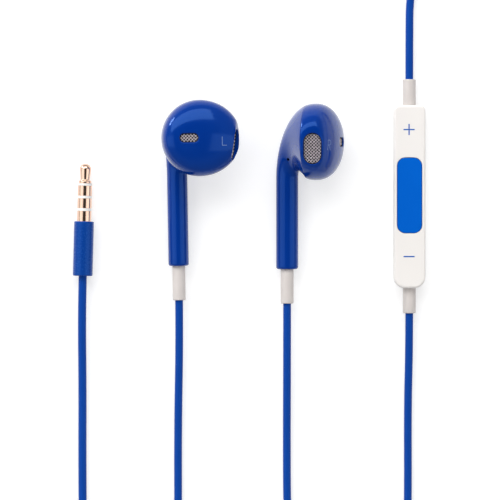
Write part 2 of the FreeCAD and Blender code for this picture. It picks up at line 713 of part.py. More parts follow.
plug_turn = Rotation(Vector(0, 0, 1), -plug_tilt.value).multiply(Rotation(Vector(1, 0, 0), -90))
plug_place = Placement(Vector(plug_x.value, plug_y.value, barrel_radius.value), plug_turn)
a0 = sleeve_end
a1 = a0 + first_insulator
a2 = a1 + second_ring
a3 = a2 + second_insulator
a4 = a3 + first_ring
a5 = a4 + third_insulator
a6 = a5 + tip_collar
a7 = a6 + tip_length
turned("plug_sleeve", plug_place, (core_radius, 0), (pin_radius, 0), (pin_radius, a0), (core_radius, a0))
turned("plug_insulator_lower", plug_place, (core_radius, a0), (pin_radius, a0), (pin_radius, a1), (core_radius, a1))
turned("plug_second_ring", plug_place, (core_radius, a1), (pin_radius, a1), (pin_radius, a2), (core_radius, a2))
turned("plug_insulator_middle", plug_place, (core_radius, a2), (pin_radius, a2), (pin_radius, a3), (core_radius, a3))
turned("plug_first_ring", plug_place, (core_radius, a3), (pin_radius, a3), (pin_radius, a4), (core_radius, a4))
turned("plug_insulator_upper", plug_place, (core_radius, a4), (pin_radius, a4), (pin_radius, a5), (core_radius, a5))

# The tip and its core are one turned piece that runs back through the rings into the barrel. Its outline
# starts behind the barrel's face, so it is drawn from there.
back = core_back
turned(
    "plug_tip", plug_place.multiply(Placement(Vector(0, 0, -back.value), Rotation())),
    (0, 0), (core_radius, 0), (core_radius, back + a5), (collar_radius, back + a5), (collar_radius, back + a6),
    (neck_radius, back + a6 + 0.25), (nose_radius, back + a7 - 1.2), (nose_radius * 0.93, back + a7 - 0.8),
    (nose_radius * 0.66, back + a7 - 0.25), (nose_flat, back + a7), (0, back + a7),
)

# The barrel is moulded over the core and the end of the cord.
up = barrel_length
turned(
    "plug_barrel", plug_place.multiply(Placement(Vector(0, 0, -up.value), Rotation())),
    (main_radius, 0), (barrel_radius - barrel_edge, 0), (barrel_radius, barrel_edge),
    (barrel_radius, up - barrel_edge), (barrel_radius - barrel_edge, up), (core_radius, up),
    (core_radius, up - back), (0, up - back), (0, cord_hold), (main_radius, cord_hold),
)

# ------------------------------------------------------------------------------------- splitter and cords
splitter_x = size("splitter_x", 29.2)
splitter_y = size("splitter_y", -110.0)
splitter_width = size("splitter_width", 5.4)
splitter_length = size("splitter_length", 12.0)
splitter_height = size("splitter_height", 3.4)
splitter_corner = size("splitter_corner", 1.5)
splitter_edge = size("splitter_edge", 0.8)
splitter_pitch = size("splitter_pitch", 2.6)
socket_depth = size("socket_depth", 2.0)

moulding = slab(splitter_width, splitter_length, splitter_height, splitter_corner, splitter_edge)
half, deep = splitter_length.value / 2, socket_depth.value
lift = splitter_height.value / 2
side = splitter_pitch.value / 2
sockets = [rod(main_radius, socket_depth + 1, Placement(Vector(0, -half - 1, lift), along_y))]
for x in (-side, side):
    sockets.append(rod(cord_radius, socket_depth + 1, Placement(Vector(x, half - deep, lift), along_y)))
finish(without(moulding, *sockets), "cord_splitter", Placement(Vector(splitter_x.value, splitter_y.value, 0), Rotation()))


def tube(radius, route, name):
    """Round cord through a row of points: straight runs joined by tangent arcs. Prints its length and its
    tightest bend."""
    points = [Vector(*point) for point in route]
    edges, start, tightest, length = [], points[0], 1e9, 0.0
    for before, corner, after in zip(points, points[1:], points[2:]):
        back, ahead = before - corner, after - corner
        shorter = min(back.Length, ahead.Length)
        back.normalize()
        ahead.normalize()
        turn = math.pi - back.getAngle(ahead)
        reach = 0.45 * shorter
        bend = reach / math.tan(turn / 2)
        tightest = min(tightest, bend)
        first, last = corner + back * reach, corner + ahead * reach
        inward = back + ahead
        inward.normalize()
        middle = corner + inward * (bend / math.cos(turn / 2) - bend)
        edges.append(Part.LineSegment(start, first).toShape())
        edges.append(Part.Arc(first, middle, last).toShape())
        start = last
    edges.append(Part.LineSegment(start, points[-1]).toShape())
    path = Part.Wire(edges)
    along = points[1] - points[0]
    section = Part.Wire([Part.makeCircle(radius, points[0], along)])
    solid = path.makePipeShell([section], True, True)
    length = path.Length
    expected = math.pi * radius**2 * length
    print(f"{name}: {length:.1f} mm, tightest bend {tightest:.1f} mm, volume {solid.Volume / expected:.4f}")
    return solid


def coil(x, y, inner, outer, height, corner):
    """Ring-shaped outer form of a wound coil lying on the floor."""
    shape = Part.makeCylinder(outer, height, Vector(x, y, 0)).cut(Part.makeCylinder(inner, height, Vector(x, y, 0)))
    round_edges = [edge for edge in shape.Edges if abs(edge.BoundBox.ZMax - edge.BoundBox.ZMin) < 1e-6]
    return shape.makeFillet(corner, round_edges)


main_coil_x = size("main_coil_x", -28.0)
main_coil_y = size("main_coil_y", -114.1)
main_coil_inner = size("main_coil_inner", 6.5)
main_coil_outer = size("main_coil_outer", 14.5)
main_coil_height = size("main_coil_height", 4.0)
left_coil_x = size("left_coil_x", -6.7)
left_coil_y = size("left_coil_y", -95.6)
left_coil_inner = size("left_coil_inner", 7.1)
left_coil_outer = size("left_coil_outer", 12.9)
left_coil_height = size("left_coil_height", 3.84)
tie_thickness = size("tie_thickness", 0.35)
tie_width = size("tie_width", 16.0)

main_thick, thin = main_radius.value, cord_radius.value
plug_along = Vector(math.sin(math.radians(plug_tilt.value)), math.cos(math.radians(plug_tilt.value)), 0)
barrel_end = Vector(plug_x.value, plug_y.value, barrel_radius.value) - plug_along * barrel_length.value
main_start = barrel_end + plug_along * cord_hold.value
main_turn = main_start - plug_along * 14
main_plug_route = [
    tuple(main_start), tuple(main_turn), (-41.6, -44, main_thick), (-41.68, -66, main_thick),
    (-41.4, -90, main_thick), (-41.5, -113.9, main_thick),
]
main_splitter_route = [
    (-28, -127.6, main_thick), (-11, -127.3, main_thick), (6.5, -127.9, main_thick),
    (22.7, -127.6, main_thick), (29.2, -121.1, lift), (29.2, -114, lift),
]
left_top = left_place.multVec(Vector(0, -cord_tail.value, 0))
left_below = left_place.multVec(Vector(0, -cord_tail.value - 18, 0))
left_bud_route = [
    tuple(left_top), tuple(left_below), (-18.36, -54, thin), (-18.3, -76.5, thin), (-18.6, -95.6, thin),
]
left_splitter_route = [
    (5.2, -95.6, 2.65), (5.25, -89.3, 1.95), (9.6, -84.6, thin), (16.5, -83.6, thin), (23, -84.2, thin),
    (27.6, -89.2, 1.3), (27.9, -98, lift), (27.9, -106, lift),
]
outlet = outlet_height.value
right_lower_route = [
    (38, -18.5, outlet), (38, -34.5, outlet), (37.64, -50, thin), (37.72, -70, thin), (37.5, -83, thin),
    (30.5, -94.4, lift), (30.5, -106, lift),
]
right_top, right_exit = right_y.value - cord_tail.value, right_x.value
over = 5.7
right_upper_route = [
    (right_exit, right_top, right_z.value), (right_exit, right_top - 21.9, right_z.value), (8.17, -57.2, thin),
    (8.2, -68.6, thin), (8.3, -75, thin), (12.4, -79.3, thin), (22.5, -79.1, thin), (32.3, -79.3, over),
    (43, -79.1, over), (52.5, -79.3, thin), (58.6, -78.2, thin), (63.3, -72.5, thin), (63.8, -62, thin),
    (63.5, -44, thin), (64.2, -14, thin), (63.5, 16, thin), (63.9, 40, thin), (63.4, 53.6, thin),
    (58.2, 60, thin), (50.5, 61.6, thin), (42.8, 60.2, thin), (38.15, 53.3, thin), (38, 37.2, outlet),
    (38, 21.2, outlet),
]
main_ring = coil(main_coil_x.value, main_coil_y.value, main_coil_inner.value, main_coil_outer.value,
                 main_coil_height.value, 0.9)
left_ring = coil(left_coil_x.value, left_coil_y.value, left_coil_inner.value, left_coil_outer.value,
                 left_coil_height.value, 0.8)
feature("main_cord_plug_run", tube(main_thick, main_plug_route, "main cord, plug end").cut(main_ring), None)
feature("main_cord_splitter_run", tube(main_thick, main_splitter_route, "main cord, far end").cut(main_ring), None)
feature("left_cord_bud_run", tube(thin, left_bud_route, "left cord, bud end").cut(left_ring), None)
feature("left_cord_splitter_run", tube(thin, left_splitter_route, "left cord, far end").cut(left_ring), None)
feature("right_cord_lower_run", tube(thin, right_lower_route, "right cord, lower"), None)
feature("right_cord_upper_run", tube(thin, right_upper_route, "right cord, upper"), None)


def tied(name, ring_shape, x, y, inner, outer, height, turn):
    """Part the ring of a coil from the flat tie that is wrapped round it at one place."""
    thick = tie_thickness.value
    core = coil(x, y, inner + thick, outer - thick, height - 2 * thick, 0.4)
    core.translate(Vector(0, 0, thick))
    half = math.radians(tie_width.value / 2)
    wedge = Part.makePolygon([
        Vector(x, y, -1), Vector(x + 30 * math.cos(turn - half), y + 30 * math.sin(turn - half), -1),
        Vector(x + 30 * math.cos(turn + half), y + 30 * math.sin(turn + half), -1), Vector(x, y, -1),
    ])
    wedge = Part.Face(wedge).extrude(Vector(0, 0, 10))
    tie = ring_shape.cut(core).common(wedge)
    feature(name + "_tie", tie, None)
    feature(name, ring_shape.cut(tie), None)


tied("main_cord_coil", main_ring, main_coil_x.value, main_coil_y.value, main_coil_inner.value,
     main_coil_outer.value, main_coil_height.value, math.radians(60))
tied("left_cord_coil", left_ring, left_coil_x.value, left_coil_y.value, left_coil_inner.value,
     left_coil_outer.value, left_coil_height.value, math.radians(-60))

doc.recompute()
os.makedirs("parts", exist_ok=True)
for name in os.listdir("parts"):
    if name.endswith(".step") and name[:-5] not in nodes:
        os.remove(os.path.join("parts", name))
for thing in doc.Objects:
    if "Invalid" in thing.State or "Error" in thing.State:
        raise RuntimeError(f"{thing.Label} is {thing.State}")
for label, thing in nodes.items():
    shape = thing.Shape
    if shape.isNull() or not shape.isValid():
        raise RuntimeError(f"{label} has no valid shape")
    if len(shape.Solids) != (2 if label == "pivot_pins" else 1):
        raise RuntimeError(f"{label} has {len(shape.Solids)} solids")
    shape.exportStep(f"parts/{label}.step")
print(len(nodes), "nodes")
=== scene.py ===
import math
import bmesh
import bpy
from mathutils import Matrix, Vector
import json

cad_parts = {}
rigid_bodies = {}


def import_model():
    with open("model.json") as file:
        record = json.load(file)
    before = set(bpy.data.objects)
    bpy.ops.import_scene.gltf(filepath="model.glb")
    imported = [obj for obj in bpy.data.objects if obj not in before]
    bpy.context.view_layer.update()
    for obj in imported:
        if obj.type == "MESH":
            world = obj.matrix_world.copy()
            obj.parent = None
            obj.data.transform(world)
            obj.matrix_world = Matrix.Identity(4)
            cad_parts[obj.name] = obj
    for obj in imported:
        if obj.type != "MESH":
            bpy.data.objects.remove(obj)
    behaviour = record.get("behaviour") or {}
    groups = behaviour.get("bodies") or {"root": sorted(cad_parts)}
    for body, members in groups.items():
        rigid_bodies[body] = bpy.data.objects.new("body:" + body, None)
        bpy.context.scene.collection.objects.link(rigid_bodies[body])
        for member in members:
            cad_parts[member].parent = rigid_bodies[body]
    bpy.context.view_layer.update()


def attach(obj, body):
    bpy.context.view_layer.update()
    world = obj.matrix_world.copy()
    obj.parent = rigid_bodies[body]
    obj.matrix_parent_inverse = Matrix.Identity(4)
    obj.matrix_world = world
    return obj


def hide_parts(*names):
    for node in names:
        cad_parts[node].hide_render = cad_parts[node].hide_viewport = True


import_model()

MM = 0.001


# ------------------------------------------------------------------------------------ bud housings
# Each earbud is two glossy blue ABS mouldings: a rear housing that runs down into the oval stem, and a
# domed front shell snapped and glued on at the seam. Walls are 1 mm, and the flat nose face has the
# sound port.
STEM_WIDTH, STEM_DEPTH, STEM_LENGTH, STEM_CORNER = 5.0, 5.4, 30.9, 0.6
ELBOW_START, SEAM, WIDEST, FRONT = 9.0, 6.0, 8.0, 14.2
HEAD_MIDDLE, HALF_HEIGHT, BACK_SIDE, NOSE_SIDE, CROWN_LEAN = 5.65, 9.28, 9.25, 10.1, 3.6
FACE_REACH, FACE_DEPTH, FACE_SLOPE, FACE_SOFT = 15.25, 6.7, 0.19, 0.45
WALL, GROOVE, CORD_HOLE = 1.0, 0.035, 1.3
VENT_HEIGHT, VENT_DEPTH, VENT_RADIUS = -4.2, 1.1, 0.35
AROUND, SHARP = 144, math.radians(38)


def placed(hand, x, y, z, lean, roll):
    """Matrix that takes a bud's own u, w, d to the table, in millimetres."""
    turn = Matrix.Rotation(math.radians(lean), 4, "Z") @ Matrix.Rotation(math.radians(roll), 4, "Y")
    return Matrix.Translation((x, y, z)) @ turn @ Matrix.Diagonal((hand, 1, 1, 1))


BUDS = {
    "left": placed(1, -18.7, 15.4, 2.735, 1.0, 0),
    "right": placed(-1, 8.24, 14.6, 2.545, 0, 79),
}


def bezier(ends, part):
    a, b, c, d = ends
    rest = 1 - part
    return rest**3 * a + 3 * part * rest**2 * b + 3 * part**2 * rest * c + part**3 * d


def face_plane(d, inset=0.0):
    return FACE_REACH - FACE_SLOPE * (d - FACE_DEPTH) - inset


def trimmed(u, plane):
    """A reach in u, held back by the flat nose face with a soft corner between the two."""
    share = min(1.0, max(0.0, 0.5 + 0.5 * (plane - u) / FACE_SOFT))
    return plane * (1 - share) + u * share - FACE_SOFT * share * (1 - share)


def section(outer, inner, left, right, crown, inset):
    """One closed section of the skin as (u, w, d); outer and inner are (depth, height) points."""
    middle = [(a + b) / 2 for a, b in zip(outer, inner)]
    half = [(a - b) / 2 for a, b in zip(outer, inner)]
    part = 1 - inset / math.hypot(*half)
    points = []
    for step in range(AROUND):
        turn = 2 * math.pi * step / AROUND - math.pi / 2
        side = (right - crown if math.cos(turn) > 0 else crown - left) - inset
        u = crown + side * math.cos(turn)
        depth = middle[0] + half[0] * part * math.sin(turn)
        height = middle[1] + half[1] * part * math.sin(turn)
        points.append((trimmed(u, face_plane(depth, inset)), height, depth))
    return points


def drum(depth, front=FRONT):
    """Share of its full size that the head has at one depth."""
    if depth <= WIDEST:
        return 1 - 0.036 * ((WIDEST - depth) / (WIDEST - SEAM)) ** 2
    return (1 - ((depth - WIDEST) / (front - WIDEST)) ** 2.5) ** 0.45


def crown_at(depth, front=FRONT):
    """Where the middle of the head stands in u at one depth; the dome leans back over the stem."""
    return HEAD_MIDDLE - CROWN_LEAN * max(0.0, (depth - WIDEST) / (front - WIDEST)) ** 3


def stem_section(height, inset):
    w, d = STEM_WIDTH / 2, STEM_DEPTH / 2
    return section((-d, height), (d, height), -w, w, 0, inset)


def elbow_section(part, inset):
    w, d, start = STEM_WIDTH / 2, STEM_DEPTH / 2, -ELBOW_START
    share = drum(SEAM)
    tall, left, right = HALF_HEIGHT * share, BACK_SIDE * share, NOSE_SIDE * share
    outer = (bezier((-d, -d, 1.5, SEAM), part), bezier((start, 0.6, tall - 1.5, tall), part))
    inner = (bezier((d, d, 3.4, SEAM), part), bezier((start, -6.6, -6.3, -tall), part))
    reach_left = bezier((-w, -w, -3.2, HEAD_MIDDLE - left), part)
    reach_right = bezier((w, w + 0.1, 9.0, HEAD_MIDDLE + right), part)
    crown = bezier((0, 0.1, 3.2, HEAD_MIDDLE), part)
    return section(outer, inner, reach_left, reach_right, crown, inset)


def dome_section(depth, inset, front=FRONT):
    share, crown = drum(depth, front), crown_at(depth, front)
    tall, left, right = HALF_HEIGHT * share, BACK_SIDE * share, NOSE_SIDE * share
    return section((depth, tall), (depth, -tall), crown - left, crown + right, crown, inset * share)


def lofted(name, rows, ends="cap", place=None):
    """Closed mesh through rows of matching points in millimetres; its ends are capped or joined."""
    work = bmesh.new()
    rings = [[work.verts.new(p) for p in row] for row in rows]
    pairs = list(zip(rings, rings[1:]))
    if ends == "join":
        pairs.append((rings[-1], rings[0]))
    else:
        work.faces.new(rings[0])
        work.faces.new(rings[-1])
    for low, high in pairs:
        for i, (a, b) in enumerate(zip(low, high)):
            j = (i + 1) % len(low)
            work.faces.new((a, low[j], high[j], b))
    if place is not None:
        work.transform(place)
    work.transform(Matrix.Scale(MM, 4))
    bmesh.ops.recalc_face_normals(work, faces=work.faces)
    for face in work.faces:
        face.smooth = True
    mesh = bpy.data.meshes.new(name)
    work.to_mesh(mesh)
    work.free()
    mesh.set_sharp_from_angle(angle=SHARP)
    piece = bpy.data.objects.new(name, mesh)
    bpy.context.scene.collection.objects.link(piece)
    return piece


def settled(piece):
    """Turn a piece with modifiers, or a curve, into a plain mesh."""
    seen = piece.evaluated_get(bpy.context.evaluated_depsgraph_get())
    mesh = bpy.data.meshes.new_from_object(seen)
    plain = bpy.data.objects.new(piece.name + "_made", mesh)
    bpy.context.scene.collection.objects.link(plain)
    name = piece.name
    bpy.data.objects.remove(piece)
    plain.name = name
    return plain


def cut(piece, *cutters):
    for cutter in cutters:
        step = piece.modifiers.new("cut", "BOOLEAN")
        step.operation, step.solver, step.object = "DIFFERENCE", "EXACT", cutter
    bpy.context.view_layer.update()
    piece = settled(piece)
    for cutter in cutters:
        bpy.data.objects.remove(cutter)
    for face in piece.data.polygons:
        face.use_smooth = True
    piece.data.set_sharp_from_angle(angle=SHARP)
    return piece


def dome_depth(u, w):
    """Depth of the domed front over one point, found by halving."""
    low, high = WIDEST, FRONT - 1e-6
    for _ in range(40):
        depth = (low + high) / 2
        share, crown = drum(depth), crown_at(depth)
        reach = (NOSE_SIDE if u > crown else BACK_SIDE) * share
        if ((u - crown) / reach) ** 2 + (w / (HALF_HEIGHT * share)) ** 2 < 1:
            low = depth
        else:
            high = depth
    return low


def capsule(long, wide, grow=0.0, arc=20):
    """Outline of a long hole with round ends, long side along the second number."""
    radius, straight = wide / 2 + grow, (long - wide) / 2
    points = []
    for end in (1, -1):
        for step in range(arc + 1):
            turn = math.pi * step / arc + (0 if end > 0 else math.pi)
            points.append((radius * math.cos(turn), end * straight + radius * math.sin(turn)))
    return points


def nose_reach(w, d):
    """How far the skin reaches in u at one height and depth on the nose side."""
    share = drum(min(max(d, SEAM), FRONT - 0.01))
    across = max(0.0, 1 - (w / (HALF_HEIGHT * share)) ** 2)
    return trimmed(crown_at(d) + NOSE_SIDE * share * math.sqrt(across), face_plane(d))


PORT_LONG, PORT_WIDE, PORT_DROP, PORT_DEPTH, PORT_SINK, EASE = 7.6, 4.4, 1.8, 8.9, 0.54, 0.28
FACE_TILT, PORT_LEAN = math.atan(FACE_SLOPE), math.radians(8.2)
square_out = Vector((math.cos(FACE_TILT), 0, math.sin(FACE_TILT)))
PORT_AT = Vector((face_plane(PORT_DEPTH) - PORT_SINK, -PORT_DROP, PORT_DEPTH))
PORT_OUT = square_out * math.cos(PORT_LEAN) - Vector((0, math.sin(PORT_LEAN), 0))
PORT_ALONG = square_out * math.sin(PORT_LEAN) + Vector((0, math.cos(PORT_LEAN), 0))
PORT_ACROSS = Vector((-math.sin(FACE_TILT), 0, math.cos(FACE_TILT)))


def on_port(across, along, out):
    return PORT_AT + PORT_ACROSS * across + PORT_ALONG * along + PORT_OUT * out


def on_nose(across, along, out):
    """Point over the nose skin, measured along the port's own direction."""
    low, high = -2.5, 2.5
    for _ in range(30):
        middle = (low + high) / 2
        here = on_port(across, along, middle)
        low, high = (middle, high) if here.x < nose_reach(here.y, here.z) else (low, middle)
    return on_port(across, along, low + out)


SLOT_LONG, SLOT_WIDE, SLOT_MIDDLE = 4.55, 2.2, 3.2


def on_crown(across, along, out):
    """Point over the domed front, measured from the middle of the slot."""
    u = SLOT_MIDDLE + along
    return Vector((u, across, dome_depth(u, across) + out))


def eased_rows(spot, long, wide, floor):
    """Rows of a cutter whose mouth is eased by a small round where it meets the surface."""
    rows = []
    for out, grow in ((1.2, EASE * 1.3), (0.02, EASE * 1.3)):
        rows.append([spot(x, y, out) for x, y in capsule(long, wide, grow)])
    for step in range(6):
        turn = math.radians(90 * step / 5)
        drop, grow = EASE * (1 - math.cos(turn)), EASE * (1 - math.sin(turn))
        rows.append([spot(x, y, 0.004 - drop) for x, y in capsule(long, wide, grow)])
    rows.append([spot(x, y, floor) for x, y in capsule(long, wide)])
    return rows


def bud_housing(side):
    place = BUDS[side]
    outer = [dome_section(SEAM + GROOVE, GROOVE)]
    outer += [dome_section(SEAM + GROOVE + 0.12 * k / 3, GROOVE * (1 - math.sin(math.pi * k / 6)))
              for k in (1, 2, 3)]
    depths = [SEAM + 0.4 + (FRONT - SEAM - 0.4) * math.sin(math.pi / 2 * k / 52) for k in range(52)]
    outer += [dome_section(d, 0) for d in depths] + [dome_section(FRONT - 1e-5, 0)]
    within = [SEAM + GROOVE + (FRONT - WALL - SEAM - GROOVE) * math.sin(math.pi / 2 * k / 26)
              for k in range(26)]
    inner = [dome_section(min(d, FRONT - WALL - 1e-4), WALL, FRONT - WALL) for d in within]
    front = lofted(side + "_bud_front", outer[::-1] + inner, place=place)

    port = lofted("port_cutter", eased_rows(on_nose, PORT_LONG, PORT_WIDE, -2.4), place=place)
    slot = lofted("slot_cutter", eased_rows(on_crown, SLOT_LONG, SLOT_WIDE, -2.0), place=place)
    front = cut(front, port, slot)

    end = -STEM_LENGTH
    outer = []
    for turn in range(0, 91, 15):
        back = STEM_CORNER * (1 - math.sin(math.radians(turn)))
        outer.append(stem_section(end + STEM_CORNER * (1 - math.cos(math.radians(turn))), back))
    outer += [stem_section(h, 0) for h in (-28, -25, -22, -19, -16, -13, -11)]
    outer += [elbow_section(k / 72, 0) for k in range(72)]
    outer += [elbow_section(1 - 0.012 * (3 - k) / 3, GROOVE * (1 - math.cos(math.pi * k / 6)))
              for k in (1, 2, 3)]
    inner = [elbow_section(k / 30, WALL) for k in range(30, -1, -1)]
    inner += [stem_section(h, WALL) for h in (-14, -20, -26, end + WALL)]
    turns = [2 * math.pi * k / AROUND for k in range(AROUND)]
    hole = [(CORD_HOLE * math.sin(turn), end + WALL, -CORD_HOLE * math.cos(turn)) for turn in turns]
    foot = [(u, end, d) for u, _, d in hole]
    rear = lofted(side + "_bud_rear", outer + inner + [hole, foot], ends="join", place=place)
    turns = [math.pi * k / 12 for k in range(24)]
    vent = [[(u, VENT_HEIGHT + VENT_RADIUS * math.cos(turn), VENT_DEPTH + VENT_RADIUS * math.sin(turn))
             for turn in turns] for u in (0.0, 6.0)]
    return front, cut(rear, lofted("vent_cutter", vent, place=place))


class Shade:
    """One output socket, with the arithmetic that shader maths needs."""

    def __init__(self, recipe, socket):
        self.recipe, self.socket = recipe, socket

    def maths(self, operation, *values):
        return self.recipe.node("ShaderNodeMath", {"operation": operation}, dict(enumerate(values)))

    def __add__(self, other):
        return self.maths("ADD", self, other)

    def __sub__(self, other):
        return self.maths("SUBTRACT", self, other)

    def __rsub__(self, other):
        return self.maths("SUBTRACT", other, self)

    def __mul__(self, other):
        return self.maths("MULTIPLY", self, other)

    __radd__, __rmul__ = __add__, __mul__


class Finish:
    """A material made of one Principled shader; its varying inputs come from nodes."""

    def __init__(self, name, roughness=0.4, **sockets):
        self.material = bpy.data.materials.new(name)
        self.material.use_nodes = True
        self.tree = self.material.node_tree
        self.tree.nodes.clear()
        self.shader = self.tree.nodes.new("ShaderNodeBsdfPrincipled")
        end = self.tree.nodes.new("ShaderNodeOutputMaterial")
        self.tree.links.new(self.shader.outputs[0], end.inputs["Surface"])
        self.shader.inputs["Roughness"].default_value = roughness
        for key, value in sockets.items():
            self.shader.inputs[key.replace("_", " ")].default_value = value
        self.place = self.node("ShaderNodeTexCoord", output="Object")

    def node(self, kind, settings=None, values=None, output=0):
        made = self.tree.nodes.new(kind)
        for key, value in (settings or {}).items():
            setattr(made, key, value)
        for key, value in (values or {}).items():
            if isinstance(value, Shade):
                self.tree.links.new(value.socket, made.inputs[key])
            else:
                made.inputs[key].default_value = value
        return Shade(self, made.outputs[output])

    def noise(self, scale, detail=2.0, rough=0.5, vector=None):
        values = {"Vector": vector or self.place, "Scale": scale, "Detail": detail, "Roughness": rough}
        return self.node("ShaderNodeTexNoise", None, values)

    def blend(self, share, first, second):
        settings = {"data_type": "RGBA", "clamp_factor": True}
        return self.node("ShaderNodeMix", settings, {0: share, 6: first, 7: second}, output=2)

    def feed(self, **links):
        for key, value in links.items():
            self.tree.links.new(value.socket, self.shader.inputs[key.replace("_", " ")])
        return self

    def bump(self, height, depth):
        bumped = self.node("ShaderNodeBump", None, {"Height": height, "Distance": depth})
        return self.feed(Normal=bumped)


def paint(red, green, blue):
    """Linear colour from the eight-bit colour a maker would quote."""
    def channel(value):
        value /= 255
        return value / 12.92 if value <= 0.04045 else ((value + 0.055) / 1.055) ** 2.4
    return (channel(red), channel(green), channel(blue), 1.0)


def gloss_plastic(name, deep, pale, roughness=0.09, ripple=1.5e-6):
    """Injection-moulded plastic: slight colour drift, faint flow ripple and soft handling marks."""
    finish = Finish(name, IOR=1.4, Specular_IOR_Level=0.8, Specular_Tint=(0.16, 0.42, 1.0, 1))
    drift = finish.noise(90.0, 3.0, 0.55)
    marks = finish.noise(2600.0, 2.0, 0.6)
    finish.feed(Base_Color=finish.blend(drift, deep, pale), Roughness=roughness + 0.06 * marks)
    finish.bump(finish.noise(420.0, 2.0, 0.5), ripple)
    return finish.material


def fitted(piece, nodes, slot, material=None, body="earphones"):
    """Give a made piece its finish, and put it in the place of the plain solids that it dresses."""
    if material:
        piece.data.materials.append(material)
    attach(piece, body)
    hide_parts(*nodes)


BLUE_SHELL = gloss_plastic("glossy_blue_abs", paint(2, 47, 134), paint(5, 53, 142))
for side in ("left", "right"):
    for piece, node in zip(bud_housing(side), ("front_shell", "rear_housing")):
        piece.data.materials.clear()
        fitted(piece, [f"{side}_{node}"], "blue_shell", BLUE_SHELL)


# ------------------------------------------------------------------------------ port and slot weaves
# Fine woven wire cloth, painted warm grey, over a thin dark felt pad. Each is punched to a capsule
# and heat staked behind its opening, in the nose face and in the domed front. A near-black ring in
# the felt finish round the hole's edge is painted shade for the recess there.
PITCH, WIRE_RADIUS, WIRES, WIRE_STEPS = 0.56, 0.094, 26, 157
TUCKED = 0.2


def woven_cloth_tree():
    """Two families of wavy wires that pass over and under each other, trimmed to a capsule."""
    tree = bpy.data.node_groups.new("woven_cloth", "GeometryNodeTree")
    tree.interface.new_socket("Geometry", in_out="OUTPUT", socket_type="NodeSocketGeometry")
    for label in ("Pitch", "Wire Radius", "Half Straight", "Half Width"):
        tree.interface.new_socket(label, in_out="INPUT", socket_type="NodeSocketFloat")
    tree.interface.new_socket("Finish", in_out="INPUT", socket_type="NodeSocketMaterial")
    given = tree.nodes.new("NodeGroupInput").outputs
    result = tree.nodes.new("NodeGroupOutput").inputs

    def node(kind, settings=None, values=None, output=0):
        made = tree.nodes.new(kind)
        for key, value in (settings or {}).items():
            setattr(made, key, value)
        for key, value in (values or {}).items():
            if isinstance(value, bpy.types.NodeSocket):
                tree.links.new(value, made.inputs[key])
            else:
                made.inputs[key].default_value = value
        return made.outputs[output]

    def maths(operation, *values):
        return node("ShaderNodeMath", {"operation": operation}, dict(enumerate(values)))

    families = []
    for family in (0, 1):
        first = maths("MULTIPLY", given["Pitch"], -(WIRES - 1) / 2)
        start = node("ShaderNodeCombineXYZ", None, {"Y": first})
        offset = node("ShaderNodeCombineXYZ", None, {"Y": given["Pitch"]})
        rack = node("GeometryNodeMeshLine", None,
                    {"Count": WIRES, "Start Location": start, "Offset": offset})
        half = maths("MULTIPLY", given["Pitch"], WIRES / 2)
        low = node("ShaderNodeCombineXYZ", None, {"X": maths("MULTIPLY", half, -1.0)})
        high = node("ShaderNodeCombineXYZ", None, {"X": half})
        wire = node("GeometryNodeCurvePrimitiveLine", None, {"Start": low, "End": high})
        wire = node("GeometryNodeResampleCurve", None, {"Curve": wire, "Count": WIRE_STEPS})
        laid = node("GeometryNodeInstanceOnPoints", None, {"Points": rack, "Instance": wire})
        laid = node("GeometryNodeRealizeInstances", None, {"Geometry": laid})
        spot = node("GeometryNodeInputPosition")
        parts = tree.nodes.new("ShaderNodeSeparateXYZ")
        tree.links.new(spot, parts.inputs[0])
        turns = maths("DIVIDE", maths("ADD", parts.outputs["X"], parts.outputs["Y"]), given["Pitch"])
        wave = maths("COSINE", maths("MULTIPLY", turns, math.pi))
        swing = maths("MULTIPLY", given["Wire Radius"], -0.85 if family else 0.85)
        rise = maths("MULTIPLY", wave, swing)
        lift = node("ShaderNodeCombineXYZ", None, {"Z": rise})
        laid = node("GeometryNodeSetPosition", None, {"Geometry": laid, "Offset": lift})
        angle = math.radians(-45 if family else 45)
        laid = node("GeometryNodeTransform", None, {"Geometry": laid, "Rotation": (0, 0, angle)})
        families.append(laid)
    join = tree.nodes.new("GeometryNodeJoinGeometry")
    for laid in families:
        tree.links.new(laid, join.inputs[0])
    spot = node("GeometryNodeInputPosition")
    parts = tree.nodes.new("ShaderNodeSeparateXYZ")
    tree.links.new(spot, parts.inputs[0])
    along = maths("ABSOLUTE", parts.outputs["Y"])
    beyond = maths("MAXIMUM", maths("SUBTRACT", along, given["Half Straight"]), 0.0)
    across = maths("ABSOLUTE", parts.outputs["X"])
    far = maths("SQRT", maths("ADD", maths("POWER", beyond, 2.0), maths("POWER", across, 2.0)))
    outside = node("FunctionNodeCompare", {"data_type": "FLOAT", "operation": "GREATER_THAN"},
                   {"A": far, "B": given["Half Width"]})
    kept = node("GeometryNodeDeleteGeometry", {"domain": "POINT"},
                {"Geometry": join.outputs[0], "Selection": outside})
    profile = node("GeometryNodeCurvePrimitiveCircle", None,
                   {"Resolution": 5, "Radius": given["Wire Radius"]})
    solid = node("GeometryNodeCurveToMesh", None,
                 {"Curve": kept, "Profile Curve": profile, "Fill Caps": True})
    solid = node("GeometryNodeRealizeInstances", None, {"Geometry": solid})
    solid = node("GeometryNodeSetMaterial", None, {"Geometry": solid, "Material": given["Finish"]})
    tree.links.new(solid, result["Geometry"])
    return tree


CLOTH_TREE = woven_cloth_tree()


def cloth_finish():
    finish = Finish("woven_wire_grey", Metallic=0.2)
    drift = 0.5 + 1.5 * (finish.noise(2300.0, 1.0) - 0.5)
    finish.feed(Base_Color=finish.blend(drift, paint(160, 151, 156), paint(232, 221, 228)))
    finish.feed(Roughness=0.34 + 0.2 * drift)
    finish.bump(finish.noise(9000.0, 2.0), 4e-6)
    return finish.material


